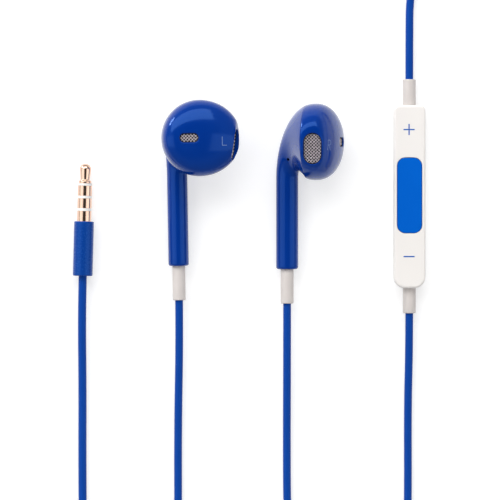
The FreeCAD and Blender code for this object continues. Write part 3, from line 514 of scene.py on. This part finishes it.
def felt_and_shade_finish():
    # Near-black felt for the pad under the weave; on the ring round the hole's edge it is painted
    # shade.
    finish = Finish("grey_felt", roughness=0.9)
    fibre = finish.noise(5200.0, 3.0, 0.7)
    finish.feed(Base_Color=finish.blend(fibre, paint(12, 11, 14), paint(34, 31, 33)))
    finish.bump(fibre, 4e-5)
    return finish.material


CLOTH, FELT_AND_SHADE = cloth_finish(), felt_and_shade_finish()


def woven_cloth(name, long, wide, place):
    flat = bpy.data.objects.new(name, bpy.data.meshes.new(name))
    bpy.context.scene.collection.objects.link(flat)
    weave = flat.modifiers.new("weave", "NODES")
    weave.node_group = CLOTH_TREE
    sizes = {"Pitch": PITCH, "Wire Radius": WIRE_RADIUS, "Half Straight": (long - wide) / 2,
             "Half Width": wide / 2 + TUCKED}
    for item in CLOTH_TREE.interface.items_tree:
        if item.in_out == "INPUT":
            weave[item.identifier] = sizes.get(item.name, CLOTH)
    bpy.context.view_layer.update()
    flat = settled(flat)
    flat.data.transform(Matrix.Scale(MM, 4) @ place)
    rows = [[(x, y, z) for x, y in capsule(long, wide, 0.3)] for z in (-0.2, -0.26)]
    pad = lofted(name + "_pad", rows, place=place)
    pad.data.materials.append(FELT_AND_SHADE)
    # The rim is a near-black ring in the felt finish round the hole's edge: painted shade for the
    # recess between the shell and the weave.
    edge = [(TUCKED, -0.2), (TUCKED, 0.2), (-0.19, 0.2), (-0.19, -0.2)]
    shade_rim = lofted(name + "_rim", [[(x, y, z) for x, y in capsule(long, wide, grow)] for grow, z in edge],
                 ends="join", place=place)
    work = bmesh.new()
    work.from_mesh(flat.data)
    for face in work.faces:
        face.smooth = True
    first = len(work.verts)
    work.from_mesh(pad.data)
    work.from_mesh(shade_rim.data)
    pad_and_shade_rim_verts = set(list(work.verts)[first:])
    for face in work.faces:
        if face.verts[0] in pad_and_shade_rim_verts:
            face.material_index = 1
    bmesh.ops.recalc_face_normals(work, faces=work.faces)
    flat.data.materials.clear()
    flat.data.materials.append(CLOTH)
    flat.data.materials.append(FELT_AND_SHADE)
    work.to_mesh(flat.data)
    work.free()
    bpy.data.objects.remove(pad)
    bpy.data.objects.remove(shade_rim)
    return flat


for side in ("left", "right"):
    hand = BUDS[side]
    port_place = Matrix.Translation(on_port(0, 0, -0.72)) @ Matrix(
        (PORT_ACROSS, PORT_ALONG, PORT_OUT)).transposed().to_4x4()
    slot_place = Matrix.Translation((SLOT_MIDDLE, 0, 13.62)) @ Matrix.Rotation(math.radians(90), 4, "Z")
    for name, long, wide, local in (("port_mesh", PORT_LONG, PORT_WIDE, port_place),
                                    ("slot_mesh", SLOT_LONG, SLOT_WIDE, slot_place)):
        piece = woven_cloth(f"{side}_{name}_cloth", long, wide, hand @ local)
        fitted(piece, [f"{side}_{name}"], "port_mesh")


# ------------------------------------------------------------------------------------- strain reliefs
# Soft grey thermoplastic sleeves, moulded round the cord where it leaves a stem or the remote, so that
# the cord bends gently there.
CORD_RADIUS, RELIEF_RADIUS, RELIEF_NECK = 0.96, 1.57, 1.28


def turned(name, outline, place, count=96):
    """Closed turned piece from (radius, height) points about its own Z."""
    rows = [[(r * math.cos(2 * math.pi * k / count), r * math.sin(2 * math.pi * k / count), h)
             for k in range(count)] for r, h in outline]
    return lofted(name, rows, place=place)


def softened(points, edge, steps=5):
    """Round every inside point of an outline by up to the given amount."""
    rounded = [points[0]]
    for before, here, after in zip(points, points[1:], points[2:]):
        here, before, after = Vector(here), Vector(before), Vector(after)
        one, two = before - here, after - here
        reach = min(edge, one.length * 0.45, two.length * 0.45)
        start, stop = here + one.normalized() * reach, here + two.normalized() * reach
        for k in range(steps + 1):
            t = k / steps
            rounded.append(tuple(start * (1 - t) ** 2 + here * 2 * t * (1 - t) + stop * t * t))
    return rounded + [points[-1]]


def rubber_finish():
    finish = Finish("relief_rubber", Coat_Weight=0.12, Coat_Roughness=0.3)
    drift = finish.noise(220.0, 3.0)
    finish.feed(Base_Color=finish.blend(drift, paint(204, 197, 193), paint(218, 211, 207)))
    finish.feed(Roughness=0.42 + 0.14 * finish.noise(3000.0))
    finish.bump(finish.noise(2600.0, 3.0), 8e-6)
    return finish.material


RUBBER = rubber_finish()


def strain_relief(name, node, place, length):
    """Sleeve that hangs from the middle of its outlet towards -Y, or +Y where length is negative."""
    down = math.copysign(1, length)
    bore = CORD_RADIUS - 0.02
    outline = [(bore, -1.2), (RELIEF_NECK, -1.2), (RELIEF_NECK, -0.05), (RELIEF_RADIUS, -0.02),
               (RELIEF_RADIUS, abs(length) - 0.02), (bore, abs(length))]
    outline = [outline[0]] + softened(outline, 0.28)[1:-1] + [outline[-1]]
    place = place @ Matrix.Rotation(math.radians(90) * down, 4, "X")
    fitted(turned(name, outline, place), [node], "relief_rubber", RUBBER)


for side in ("left", "right"):
    outlet = BUDS[side] @ Matrix.Translation((0, -STEM_LENGTH, 0))
    strain_relief(f"{side}_stem_sleeve", f"{side}_strain_relief", outlet, 8.35)


# ------------------------------------------------------------------------------------------- drivers
# Each bud holds a small moving-coil driver: a plastic ring, a steel yoke cup with a magnet and pole
# plate, and a copper voice coil on a film diaphragm. A clamp on the cord stops it pulling out.
def inner_finish(name, dark, light, metallic=0.0, roughness=0.5, scale=400.0, depth=1e-5):
    finish = Finish(name, Metallic=metallic)
    drift = finish.noise(scale, 4.0, 0.6)
    finish.feed(Base_Color=finish.blend(drift, dark, light), Roughness=roughness + 0.15 * drift)
    finish.bump(drift, depth)
    return finish.material


INNER = {}
for node, name, dark, light, *rest in (
        ("driver_frame", "driver_plastic", (28, 28, 30), (40, 40, 42)),
        ("driver_seat", "seat_plastic", (34, 34, 36), (48, 48, 50)),
        ("driver_yoke", "driver_steel", (150, 150, 152), (176, 176, 178), 1.0, 0.3),
        ("driver_magnet", "nickel_magnet", (178, 174, 168), (198, 194, 186), 1.0, 0.25),
        ("driver_pole_plate", "pole_steel", (140, 140, 142), (168, 168, 170), 1.0, 0.32),
        ("voice_coil", "coil_copper", (168, 92, 52), (204, 122, 74), 1.0, 0.3, 2400.0),
        ("diaphragm", "diaphragm_film", (186, 182, 170), (208, 204, 194), 0.0, 0.25),
        ("cord_clamp", "clamp_brass", (178, 146, 84), (206, 172, 104), 1.0, 0.3)):
    INNER[node] = inner_finish(name, paint(*dark), paint(*light), *rest)


def dress(node, material):
    """Give a CAD node's solid its finish."""
    thing = bpy.data.objects[node]
    if not thing.material_slots:
        thing.data.materials.append(material)
    for slot in thing.material_slots:
        slot.material = material


for side in ("left", "right"):
    for part, material in INNER.items():
        dress(f"{side}_{part}", material)


# ------------------------------------------------------------------------------------------- remote
# A slim in-line remote: a white tray, a white rocking cover that works the two volume switches at its
# ends, and a blue button in the middle. The cord enters and leaves through two soft sleeves.
REMOTE_X, REMOTE_Y, REMOTE_WIDE, REMOTE_LONG = 38.0, 1.38, 7.75, 44.6
TOP_CORNER, FOOT_CORNER = 1.5, 2.8


def oblong(wide, long, top, foot, z, inset=0.0, arc=10):
    """Rounded oblong at one height; the two +Y corners have one radius, the two -Y corners another."""
    a, b = wide / 2 - inset, long / 2 - inset
    points = []
    for sx, sy, start in ((1, 1, 0), (-1, 1, 90), (-1, -1, 180), (1, -1, 270)):
        r = max(0.05, (top if sy > 0 else foot) - inset)
        for step in range(arc + 1):
            turn = math.radians(start + 90 * step / arc)
            points.append((sx * (a - r) + r * math.cos(turn), sy * (b - r) + r * math.sin(turn), z))
    return points


def eased(profile, wide, long, top, foot):
    """Rows of oblongs for a list of (inset, z)."""
    return [oblong(wide, long, top, foot, z, inset) for inset, z in profile]


def quarter(edge, z, up=True, steps=8, out=True):
    """(inset, z) points of a rounded edge whose flat is at z; from the side wall to the flat."""
    rows = []
    for k in range(steps + 1):
        turn = math.radians(90 * k / steps)
        rows.append((edge * (1 - math.cos(turn)), z - (1 if up else -1) * edge * (1 - math.sin(turn))))
    return rows if out else rows[::-1]


def white_finish():
    finish = Finish("white_moulding", Coat_Weight=0.15, Coat_Roughness=0.1)
    drift = finish.noise(120.0, 3.0)
    finish.feed(Base_Color=finish.blend(drift, paint(240, 236, 232), paint(244, 240, 236)))
    finish.feed(Roughness=0.3 + 0.05 * finish.noise(900.0))
    finish.bump(finish.noise(300.0), 1e-6)
    return finish.material


WHITE = white_finish()
REMOTE = Matrix.Translation((REMOTE_X, REMOTE_Y, 0))
TRAY_TOP, COVER_FOOT, COVER_TOP, TRAY_WALL = 2.4, 2.82, 5.0, 1.0

BODY = (REMOTE_WIDE, REMOTE_LONG, TOP_CORNER, FOOT_CORNER)
profile = [(2.5, 0.0)] + quarter(0.7, 0.0, up=False, out=False)
profile += [(0.0, TRAY_TOP - 0.1), (0.1, TRAY_TOP), (TRAY_WALL, TRAY_TOP), (TRAY_WALL, 0.8), (2.5, 0.8)]
tray = lofted("remote_tray", eased(profile, *BODY), place=REMOTE)

BUTTON_WIDE, BUTTON_LONG, BUTTON_CORNER, BUTTON_LIFT = 6.0, 18.3, 2.0, 0.3
GAP = 0.1
profile = [(0.1, COVER_FOOT), (0.0, COVER_FOOT + 0.1)] + quarter(0.62, COVER_TOP) + [(0.64, COVER_TOP)]
rows = eased(profile, *BODY)
hole = [(-0.075, COVER_TOP), (-0.06, COVER_TOP), (-0.018, COVER_TOP - 0.018), (0.0, COVER_TOP - 0.06),
        (0.0, COVER_FOOT + 0.4)]
opening = (BUTTON_WIDE + 2 * GAP, BUTTON_LONG + 2 * GAP, BUTTON_CORNER + GAP, BUTTON_CORNER + GAP)
mouth = [[(x, y + BUTTON_LIFT, z) for x, y, z in row] for row in eased(hole, *opening)]
under = eased([(TRAY_WALL, COVER_FOOT + 0.4), (TRAY_WALL, COVER_FOOT)], *BODY)
cover = lofted("remote_cover", rows + mouth + under, ends="join", place=REMOTE)

profile = [(0.0, COVER_TOP - 1.0)] + quarter(0.22, COVER_TOP) + [(0.24, COVER_TOP), (1.2, COVER_TOP)]
rows = [[(x, y + BUTTON_LIFT, z) for x, y, z in row]
        for row in eased(profile, BUTTON_WIDE, BUTTON_LONG, BUTTON_CORNER, BUTTON_CORNER)]
button = lofted("remote_button", rows, place=REMOTE)


def satin_blue():
    finish = Finish("satin_blue_button", IOR=1.4, Specular_Tint=(0.1, 0.45, 1.0, 1))
    drift = finish.noise(150.0, 3.0)
    finish.feed(Base_Color=finish.blend(drift, paint(1, 92, 198), paint(3, 97, 203)))
    finish.feed(Roughness=0.3 + 0.12 * finish.noise(2800.0))
    finish.bump(finish.noise(3200.0, 3.0), 6e-6)
    return finish.material


BUTTON_BLUE = satin_blue()
for piece, node, body, material, slot in (
        (tray, "remote_housing", "earphones", WHITE, "white_shell"),
        (cover, "volume_rocker", "volume_rocker", WHITE, "white_shell"),
        (button, "centre_button", "centre_button", BUTTON_BLUE, "blue_button")):
    fitted(piece, [node], slot, material, body)

for end, shift, length in (("lower", -REMOTE_LONG / 2, 6.1), ("upper", REMOTE_LONG / 2, -6.3)):
    outlet = Matrix.Translation((REMOTE_X, REMOTE_Y + shift, 2.0))
    strain_relief(f"remote_{end}_sleeve", f"remote_{end}_relief", outlet, length)

for node, name, dark, light, metallic, roughness in (
        ("pivot_pins", "pin_steel", paint(170, 170, 172), paint(190, 190, 192), 1.0, 0.25),
        ("remote_circuit_board", "board_green", paint(24, 84, 52), paint(34, 104, 64), 0.0, 0.4),
        ("microphone_capsule", "microphone_can", paint(188, 184, 176), paint(206, 202, 194), 1.0, 0.3)):
    dress(node, inner_finish(name, dark, light, metallic, roughness))
for switch in ("plus", "minus", "centre"):
    dress(f"{switch}_switch_dome", INNER["driver_yoke"])


# ------------------------------------------------------------------------------------- printed marks
# The plus and minus on the cover and the L and R on the buds are pad-printed, one or two hundredths of
# a millimetre thick.
def ink_finish(name, dark, light):
    finish = Finish(name, Specular_IOR_Level=0.2)
    drift = finish.noise(1500.0, 2.0)
    finish.feed(Base_Color=finish.blend(drift, dark, light), Roughness=0.45 + 0.1 * drift)
    finish.bump(drift, 4e-6)
    return finish.material


BLUE_INK = ink_finish("blue_ink", paint(0, 84, 176), paint(2, 92, 186))
PALE_INK = ink_finish("pale_ink", paint(96, 122, 174), paint(108, 132, 184))


def printed(name, strokes, thick, surface, body, material):
    """Thin raised strokes; each is a row of points with a width, laid on a surface function."""
    work = bmesh.new()
    for points, width in strokes:
        path = [Vector(p) for p in points]
        fine = []
        for a, b in zip(path, path[1:]):
            count = max(1, int((b - a).length / 0.12))
            fine += [a.lerp(b, k / count) for k in range(count)]
        fine.append(path[-1])
        looped = (path[0] - path[-1]).length < 1e-6
        if looped:
            fine.pop()
        edges = []
        for i, point in enumerate(fine):
            ahead = fine[(i + 1) % len(fine)] if looped or i + 1 < len(fine) else point
            behind = fine[i - 1] if looped or i else point
            along = (ahead - behind).normalized()
            side = Vector((-along.y, along.x)) * width / 2
            low = [surface(*(point + side), -0.03), surface(*(point - side), -0.03)]
            high = [surface(*(point - side * 0.9), thick), surface(*(point + side * 0.9), thick)]
            edges.append([work.verts.new(Vector(p) * MM) for p in low + high])
        pairs = list(zip(edges, edges[1:])) + ([(edges[-1], edges[0])] if looped else [])
        for one, two in pairs:
            for k in range(4):
                work.faces.new((one[k], one[(k + 1) % 4], two[(k + 1) % 4], two[k]))
        if not looped:
            work.faces.new(edges[0])
            work.faces.new(edges[-1])
    bmesh.ops.recalc_face_normals(work, faces=work.faces)
    mesh = bpy.data.meshes.new(name)
    work.to_mesh(mesh)
    work.free()
    mesh.materials.append(material)
    piece = bpy.data.objects.new(name, mesh)
    bpy.context.scene.collection.objects.link(piece)
    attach(piece, body)


flat_top = lambda x, y, out: (x, y, COVER_TOP + out)
half, thin, mark_x, plus_y, minus_y = 1.35, 0.32, 37.87, 17.68, -13.2
printed("plus_mark", [([(mark_x - half, plus_y), (mark_x + half, plus_y)], thin),
                      ([(mark_x, plus_y - half), (mark_x, plus_y - thin / 2 - 0.005)], thin),
                      ([(mark_x, plus_y + thin / 2 + 0.005), (mark_x, plus_y + half)], thin)],
        0.02, flat_top, "volume_rocker", BLUE_INK)
printed("minus_mark", [([(mark_x - half, minus_y), (mark_x + half, minus_y)], thin)], 0.02, flat_top,
        "volume_rocker", BLUE_INK)


def on_dome(side):
    def spot(u, w, out):
        here = Vector((u, w, dome_depth(u, w)))
        du = Vector((0.05, 0, dome_depth(u + 0.05, w) - here.z))
        dw = Vector((0, 0.05, dome_depth(u, w + 0.05) - here.z))
        return BUDS[side] @ (here + du.cross(dw).normalized() * out)
    return spot


L_U, L_W = 11.75, -0.9
printed("left_mark", [([(L_U - 0.55, L_W + 1.1), (L_U - 0.55, L_W - 1.1)], 0.2),
                      ([(L_U - 0.44, L_W - 1.0), (L_U + 0.55, L_W - 1.0)], 0.2)],
        0.012, on_dome("left"), "earphones", PALE_INK)
turns = [math.radians(angle) for angle in range(0, 181, 15)]
bowl = [(L_U - 0.6 + 0.62 + 0.6 * math.sin(turn), L_W + 0.62 + 0.6 * math.cos(turn)) for turn in turns]
mirrored = lambda points: [(2 * L_U - x, y) for x, y in points]
printed("right_mark", [(mirrored([(L_U - 0.6, L_W - 1.25), (L_U - 0.6, L_W + 1.25)]), 0.18),
                       (mirrored([(L_U - 0.47, L_W + 1.22)] + bowl + [(L_U - 0.47, L_W + 0.02)]), 0.18),
                       (mirrored([(L_U - 0.1, L_W - 0.08), (L_U + 0.62, L_W - 1.25)]), 0.18)],
        0.012, on_dome("right"), "earphones", PALE_INK)


# --------------------------------------------------------------------------------------------- plug
# A 3.5 mm four-pole plug. Plated brass contacts are stacked on a core with white insulating rings
# between them, and a blue barrel is moulded over the core and the end of the cord.
SHOULDER = Vector((-41.2, -4.62, 2.415))
PIN, BARREL, BARREL_LONG, CORE, PLUG_LEAN = 1.75, 2.415, 13.3, 0.6, math.radians(1.5)
PLUG = Matrix.Translation(SHOULDER) @ Matrix.Rotation(-PLUG_LEAN, 4, "Z")
PLUG = PLUG @ Matrix.Rotation(math.radians(-90), 4, "X")


def metal_finish():
    finish = Finish("plated_contact", Metallic=1.0)
    turning = finish.noise(700.0, 2.0, vector=finish.node("ShaderNodeMapping", None, {
        "Vector": finish.place, "Rotation": (0, 0, PLUG_LEAN), "Scale": (0.15, 9.0, 0.15)}))
    finish.feed(Base_Color=finish.blend(turning, paint(226, 190, 168), paint(240, 206, 184)))
    finish.feed(Roughness=0.1 + 0.07 * turning)
    finish.bump(turning, 1.5e-6)
    return finish.material


def insulator_finish():
    finish = Finish("white_insulator", Coat_Weight=0.2)
    drift = finish.noise(900.0)
    finish.feed(Base_Color=finish.blend(drift, paint(240, 238, 234), paint(248, 246, 243)))
    finish.feed(Roughness=0.3 + 0.1 * drift)
    finish.bump(drift, 4e-6)
    return finish.material


METAL, INSULATOR = metal_finish(), insulator_finish()
heights = [0.0]
for length in (2.53, 0.65, 2.41, 0.62, 2.47, 0.56):
    heights.append(heights[-1] + length)
stack = ("plug_sleeve", "plug_insulator_lower", "plug_second_ring", "plug_insulator_middle",
         "plug_first_ring", "plug_insulator_upper")
for node, low, high in zip(stack, heights, heights[1:]):
    metal = "insulator" not in node
    radius, edge = (PIN, 0.05) if metal else (PIN - 0.015, 0.02)
    start = -0.4 if node == "plug_sleeve" else low
    outline = [(CORE, start), (radius - edge, start), (radius, start + edge), (radius, high - edge),
               (radius - edge, high), (CORE, high)]
    piece = turned(node + "_contact" if metal else node + "_band", outline, PLUG)
    fitted(piece, [node], "plug_metal" if metal else "insulator", METAL if metal else INSULATOR)

foot = heights[-1]
neck = foot + 0.59
outline = [(CORE, foot), (1.55, foot), (1.55, neck), (1.14, neck + 0.25), (1.425, neck + 2.97),
           (1.325, neck + 3.37), (0.94, neck + 3.92), (0.45, neck + 4.17), (0.1, neck + 4.17)]
tip = turned("plug_tip_contact", softened(outline, 0.16), PLUG)
fitted(tip, ["plug_tip"], "plug_metal", METAL)

BLUE_MOULDING = gloss_plastic("satin_blue_moulding", paint(8, 58, 140), paint(12, 63, 148), 0.24, 6e-6)
outline = [(1.0, -BARREL_LONG), (BARREL, -BARREL_LONG), (BARREL, 0.0), (1.0, 0.0)]
barrel = turned("plug_grip", [outline[0]] + softened(outline, 0.35, 7)[1:-1] + [outline[-1]], PLUG)
fitted(barrel, ["plug_barrel"], "blue_moulding", BLUE_MOULDING)


# ----------------------------------------------------------------------------------------- splitter
# A small block in the plug barrel's blue plastic. It is moulded over the joint where the main cord
# divides into the two bud cords.
profile = [(0.9, 0.0)] + quarter(0.8, 0.0, up=False, out=False) + quarter(0.8, 3.4)
rows = eased(profile, 5.4, 12.0, 1.5, 1.5)
splitter = lofted("splitter_block", rows, place=Matrix.Translation((29.2, -110.0, 0)))
fitted(splitter, ["cord_splitter"], "blue_moulding", BLUE_MOULDING)


# -------------------------------------------------------------------------------------------- cords
# Blue elastomer cords, 2.0 mm from plug to splitter and 1.92 mm above it. The spare length of the main
# cord and of the left bud's cord is wound into two tied coils, as they are packed.
def cord_finish():
    finish = Finish("blue_cord_jacket", IOR=1.36, Specular_Tint=(0.16, 0.42, 1.0, 1))
    drift = finish.noise(160.0, 3.0)
    finish.feed(Base_Color=finish.blend(drift, paint(10, 62, 150), paint(16, 68, 158)))
    finish.feed(Roughness=0.36 + 0.12 * finish.noise(2600.0))
    finish.bump(finish.noise(1800.0, 3.0), 9e-6)
    return finish.material


JACKET = cord_finish()


def winding(x, y, outer, inner, low, high, turns_in, turns_out, per=16):
    """Points of a two-layer coil: inward on the table, then outward on top of the first layer."""
    points = []
    total = turns_in * per
    for k in range(1, total + 1):
        radius = outer + (inner - outer) * (k / total)
        begin = math.pi + 2 * math.pi * k / per
        points.append((x + radius * math.cos(begin), y + radius * math.sin(begin), low))
    step = (outer - inner) / turns_in
    for k in range(1, int(turns_out * per) + 1):
        radius = inner + step * k / per
        angle = begin + 2 * math.pi * k / per
        height = low + (high - low) * min(1.0, k / 5)
        points.append((x + radius * math.cos(angle), y + radius * math.sin(angle), height))
    return points


def cord(name, nodes, radius, route, exit_at, length, far_end, **more):
    curve = bpy.data.curves.new(name, "CURVE")
    curve.dimensions = "3D"
    curve.bevel_depth, curve.bevel_resolution = radius * MM, 8
    curve.use_fill_caps = True
    spline = curve.splines.new("NURBS")
    spline.points.add(len(route) - 1)
    for point, spot in zip(spline.points, route):
        point.co = (*[value * MM for value in spot], 1.0)
    spline.order_u = 3
    spline.use_endpoint_u = True
    spline.resolution_u = 8
    piece = bpy.data.objects.new(name, curve)
    bpy.context.scene.collection.objects.link(piece)
    fitted(piece, nodes, "blue_cord", JACKET)
    tuple(v * MM for v in exit_at)


MAIN_COIL, LEFT_COIL = (-28, -114.1), (-6.7, -95.6)
plug_pieces = [thing for thing in bpy.data.objects if thing.name.startswith("plug_") and (
    thing.name.endswith(("_contact", "_band")) or thing.name == "plug_grip")]
main_route = [(29.2, -114, 1.7), (29.2, -121.1, 1.7), (22.7, -127.6, 1), (6.5, -127.9, 1),
              (-11, -127.3, 1)]
main_route += winding(*MAIN_COIL, 13.5, 7.5, 1.0, 2.9, 4, 4.25)[::-1]
main_route += [(-41.5, -113.9, 1), (-41.4, -90, 1), (-41.68, -66, 1), (-41.6, -44, 1),
               (-41.78, -26.9, BARREL), (-41.42, -12.92, BARREL)]
cord("main_cord", ("main_cord_plug_run", "main_cord_splitter_run", "main_cord_coil"), 1.0, main_route,
     (29.2, -116, 1.7), 0.71, "plug", lay="coiled", with_pieces=plug_pieces)

left_route = [tuple(BUDS["left"] @ Vector((0, -28, 0))), tuple(BUDS["left"] @ Vector((0, -46, 0))),
              (-18.36, -54, .96), (-18.3, -76.5, .96), (-18.6, -95.6, .96)]
left_route += winding(*LEFT_COIL, 11.92, 8.08, 0.96, 2.65, 3, 1.5)
left_route += [(5.25, -89.3, 1.95), (9.6, -84.6, .96), (16.5, -83.6, .96), (23, -84.2, .96),
               (27.6, -89.2, 1.3), (27.9, -98, 1.7), (27.9, -106, 1.7)]
cord("left_cord", ("left_cord_bud_run", "left_cord_splitter_run", "left_cord_coil"), CORD_RADIUS,
     left_route, tuple(BUDS["left"] @ Vector((0, -39.25, 0))), 0.405, "object", lay="coiled")

cord("right_lower_cord", ("right_cord_lower_run",), CORD_RADIUS,
     [(38, -21.4, 2), (38, -34.5, 2), (37.64, -50, .96), (37.72, -70, .96), (37.5, -83, .96),
      (30.5, -94.4, 1.7), (30.5, -106, 1.7)], (38, -27.0, 2), 0.089, "object", lay="loose")
right_route = [(8.24, -13.4, 2.545), (8.24, -35.3, 2.545), (8.17, -57.2, .96), (8.2, -68.6, .96),
               (8.3, -75, .96), (12.4, -79.3, .96), (22.5, -79.1, .96), (32.3, -79.3, 5.7),
               (43, -79.1, 5.7), (52.5, -79.3, .96), (58.6, -78.2, .96), (63.3, -72.5, .96),
               (63.8, -62, .96), (63.5, -44, .96), (64.2, -14, .96), (63.5, 16, .96), (63.9, 40, .96),
               (63.4, 53.6, .96), (58.2, 60, .96), (50.5, 61.6, .96), (42.8, 60.2, .96),
               (38.15, 53.3, .96), (38, 37.2, 2), (38, 24.1, 2)]
cord("right_upper_cord", ("right_cord_upper_run",), CORD_RADIUS, right_route, (8.24, -24.65, 2.545),
     0.311, "object", lay="loose")


# ---------------------------------------------------------------------------------------- coil ties
# A narrow strap of black hook-and-loop tape, 0.35 mm thick. It goes round each coil and is closed on
# itself, to hold the turns together.
def tie_finish():
    finish = Finish("black_hook_and_loop", roughness=0.85, Sheen_Weight=0.3)
    fibre = finish.noise(3600.0, 3.0, 0.7)
    finish.feed(Base_Color=finish.blend(fibre, paint(16, 16, 18), paint(40, 40, 44)))
    finish.bump(fibre, 6e-5)
    return finish.material


TIE_BLACK = tie_finish()


def coil_tie(name, node, x, y, inner, outer, height, turn, wide=16.0, thick=0.35):
    """Flat strap round the winding between two radii, centred on one angle of the coil."""
    middle, half_r, half_z = (inner + outer) / 2, (outer - inner) / 2, height / 2

    def loop(angle, grow):
        points = []
        corner = 0.9 + grow
        for px, pz, _ in oblong(2 * (half_r + grow), 2 * (half_z + grow), corner, corner, 0, arc=6):
            r = middle + px
            z = max(0.0, half_z + pz)
            points.append((x + r * math.cos(angle), y + r * math.sin(angle), z))
        return points
    rows = []
    start, stop = math.radians(turn - wide / 2), math.radians(turn + wide / 2)
    for k in range(9):
        rows.append(loop(start + (stop - start) * k / 8, thick if 0 < k < 8 else thick - 0.08))
    for k in range(8, -1, -4):
        rows.append(loop(start + (stop - start) * k / 8, -0.02))
    fitted(lofted(name, rows, ends="join"), [node], "tie_black", TIE_BLACK)


coil_tie("main_tie_strap", "main_cord_coil_tie", *MAIN_COIL, 6.5, 14.5, 4.0, 60)
coil_tie("left_tie_strap", "left_cord_coil_tie", *LEFT_COIL, 7.1, 12.9, 3.84, -60)


# ---------------------------------------------------------------------------------- table and light
# A plain white table under soft lamps, in a studio that is dark overhead and brighter towards the
# horizon. The camera looks straight down at the buds, plug and remote from 1.5 m.
def table_finish():
    finish = Finish("white_table", roughness=0.9, Specular_IOR_Level=0.0, Emission_Strength=1.0)
    rays = finish.tree.nodes.new("ShaderNodeLightPath")
    seen = Shade(finish, rays.outputs["Is Camera Ray"]) + Shade(finish, rays.outputs["Is Glossy Ray"]) \
        + Shade(finish, rays.outputs["Is Transmission Ray"])
    dark, pale, glow, none = ((value, value, value, 1) for value in (0.60, 0.62, 0.52, 0))
    finish.feed(Base_Color=finish.blend(finish.noise(30.0), dark, pale))
    finish.feed(Emission_Color=finish.blend(seen, none, glow))
    return finish.material


TABLE = 1.5
corners = [(-TABLE, -TABLE), (TABLE, -TABLE), (TABLE, TABLE), (-TABLE, TABLE)]
floor_mesh = bpy.data.meshes.new("table")
floor_mesh.from_pydata([(x, y, 0.0) for x, y in corners], [], [(0, 1, 2, 3)])
floor_mesh.materials.append(table_finish())
floor = bpy.data.objects.new("table", floor_mesh)
bpy.context.scene.collection.objects.link(floor)


def lamp(name, spot, aim, size, power, size_y=None):
    light = bpy.data.lights.new(name, "AREA")
    light.energy, light.size = power, size
    if size_y:
        light.shape, light.size_y = "RECTANGLE", size_y
    thing = bpy.data.objects.new(name, light)
    thing.location = spot
    thing.rotation_euler = (Vector(aim) - Vector(spot)).to_track_quat("-Z", "Y").to_euler()
    bpy.context.scene.collection.objects.link(thing)
    return thing


lamp("upper_softbox", (-0.25, 0.95, 1.0), (0, 0, 0), 2.0, 18.0, 0.95)
lamp("low_softbox_left", (-0.95, 0.80, 0.16), (0, 0, 0), 0.35, 5.0, 0.28)
for side in (-1, 1):
    lamp("side_panel", (side * 1.0, -0.15, 0.85), (0, -0.05, 0), 0.6, 2.6, 1.3)
above = lamp("table_light", (0.0, -0.4, 1.9), (0, 0, 0), 0.6, 4.0, 0.6)
above.visible_glossy = False

world = bpy.data.worlds.new("studio")
bpy.context.scene.world = world
world.use_nodes = True
sky = world.node_tree.nodes
aim = sky.new("ShaderNodeTexCoord")
parts = sky.new("ShaderNodeSeparateXYZ")
fade = sky.new("ShaderNodeMapRange")
fade.interpolation_type = "SMOOTHSTEP"
for key, value in (("From Min", 0.96), ("From Max", 0.68), ("To Min", 0.05), ("To Max", 0.45)):
    fade.inputs[key].default_value = value
world.node_tree.links.new(aim.outputs["Generated"], parts.inputs[0])
world.node_tree.links.new(parts.outputs["Z"], fade.inputs["Value"])
world.node_tree.links.new(fade.outputs["Result"], sky["Background"].inputs["Strength"])
sky["Background"].inputs["Color"].default_value = (1.0, 1.0, 1.0, 1)

scene = bpy.context.scene
scene.view_settings.view_transform = "Standard"
lens = bpy.data.cameras.new("camera")
camera = bpy.data.objects.new("camera", lens)
scene.collection.objects.link(camera)
camera.location = (-0.0008, -0.0116, 1.5)
SENSOR, HEIGHT, VIEW_WIDTH = 36.0, 1500, 121.95
lens.sensor_width = SENSOR
lens.lens = SENSOR * HEIGHT / VIEW_WIDTH
lens.clip_start, lens.clip_end = 0.1, 20.0
scene.camera = camera

import json
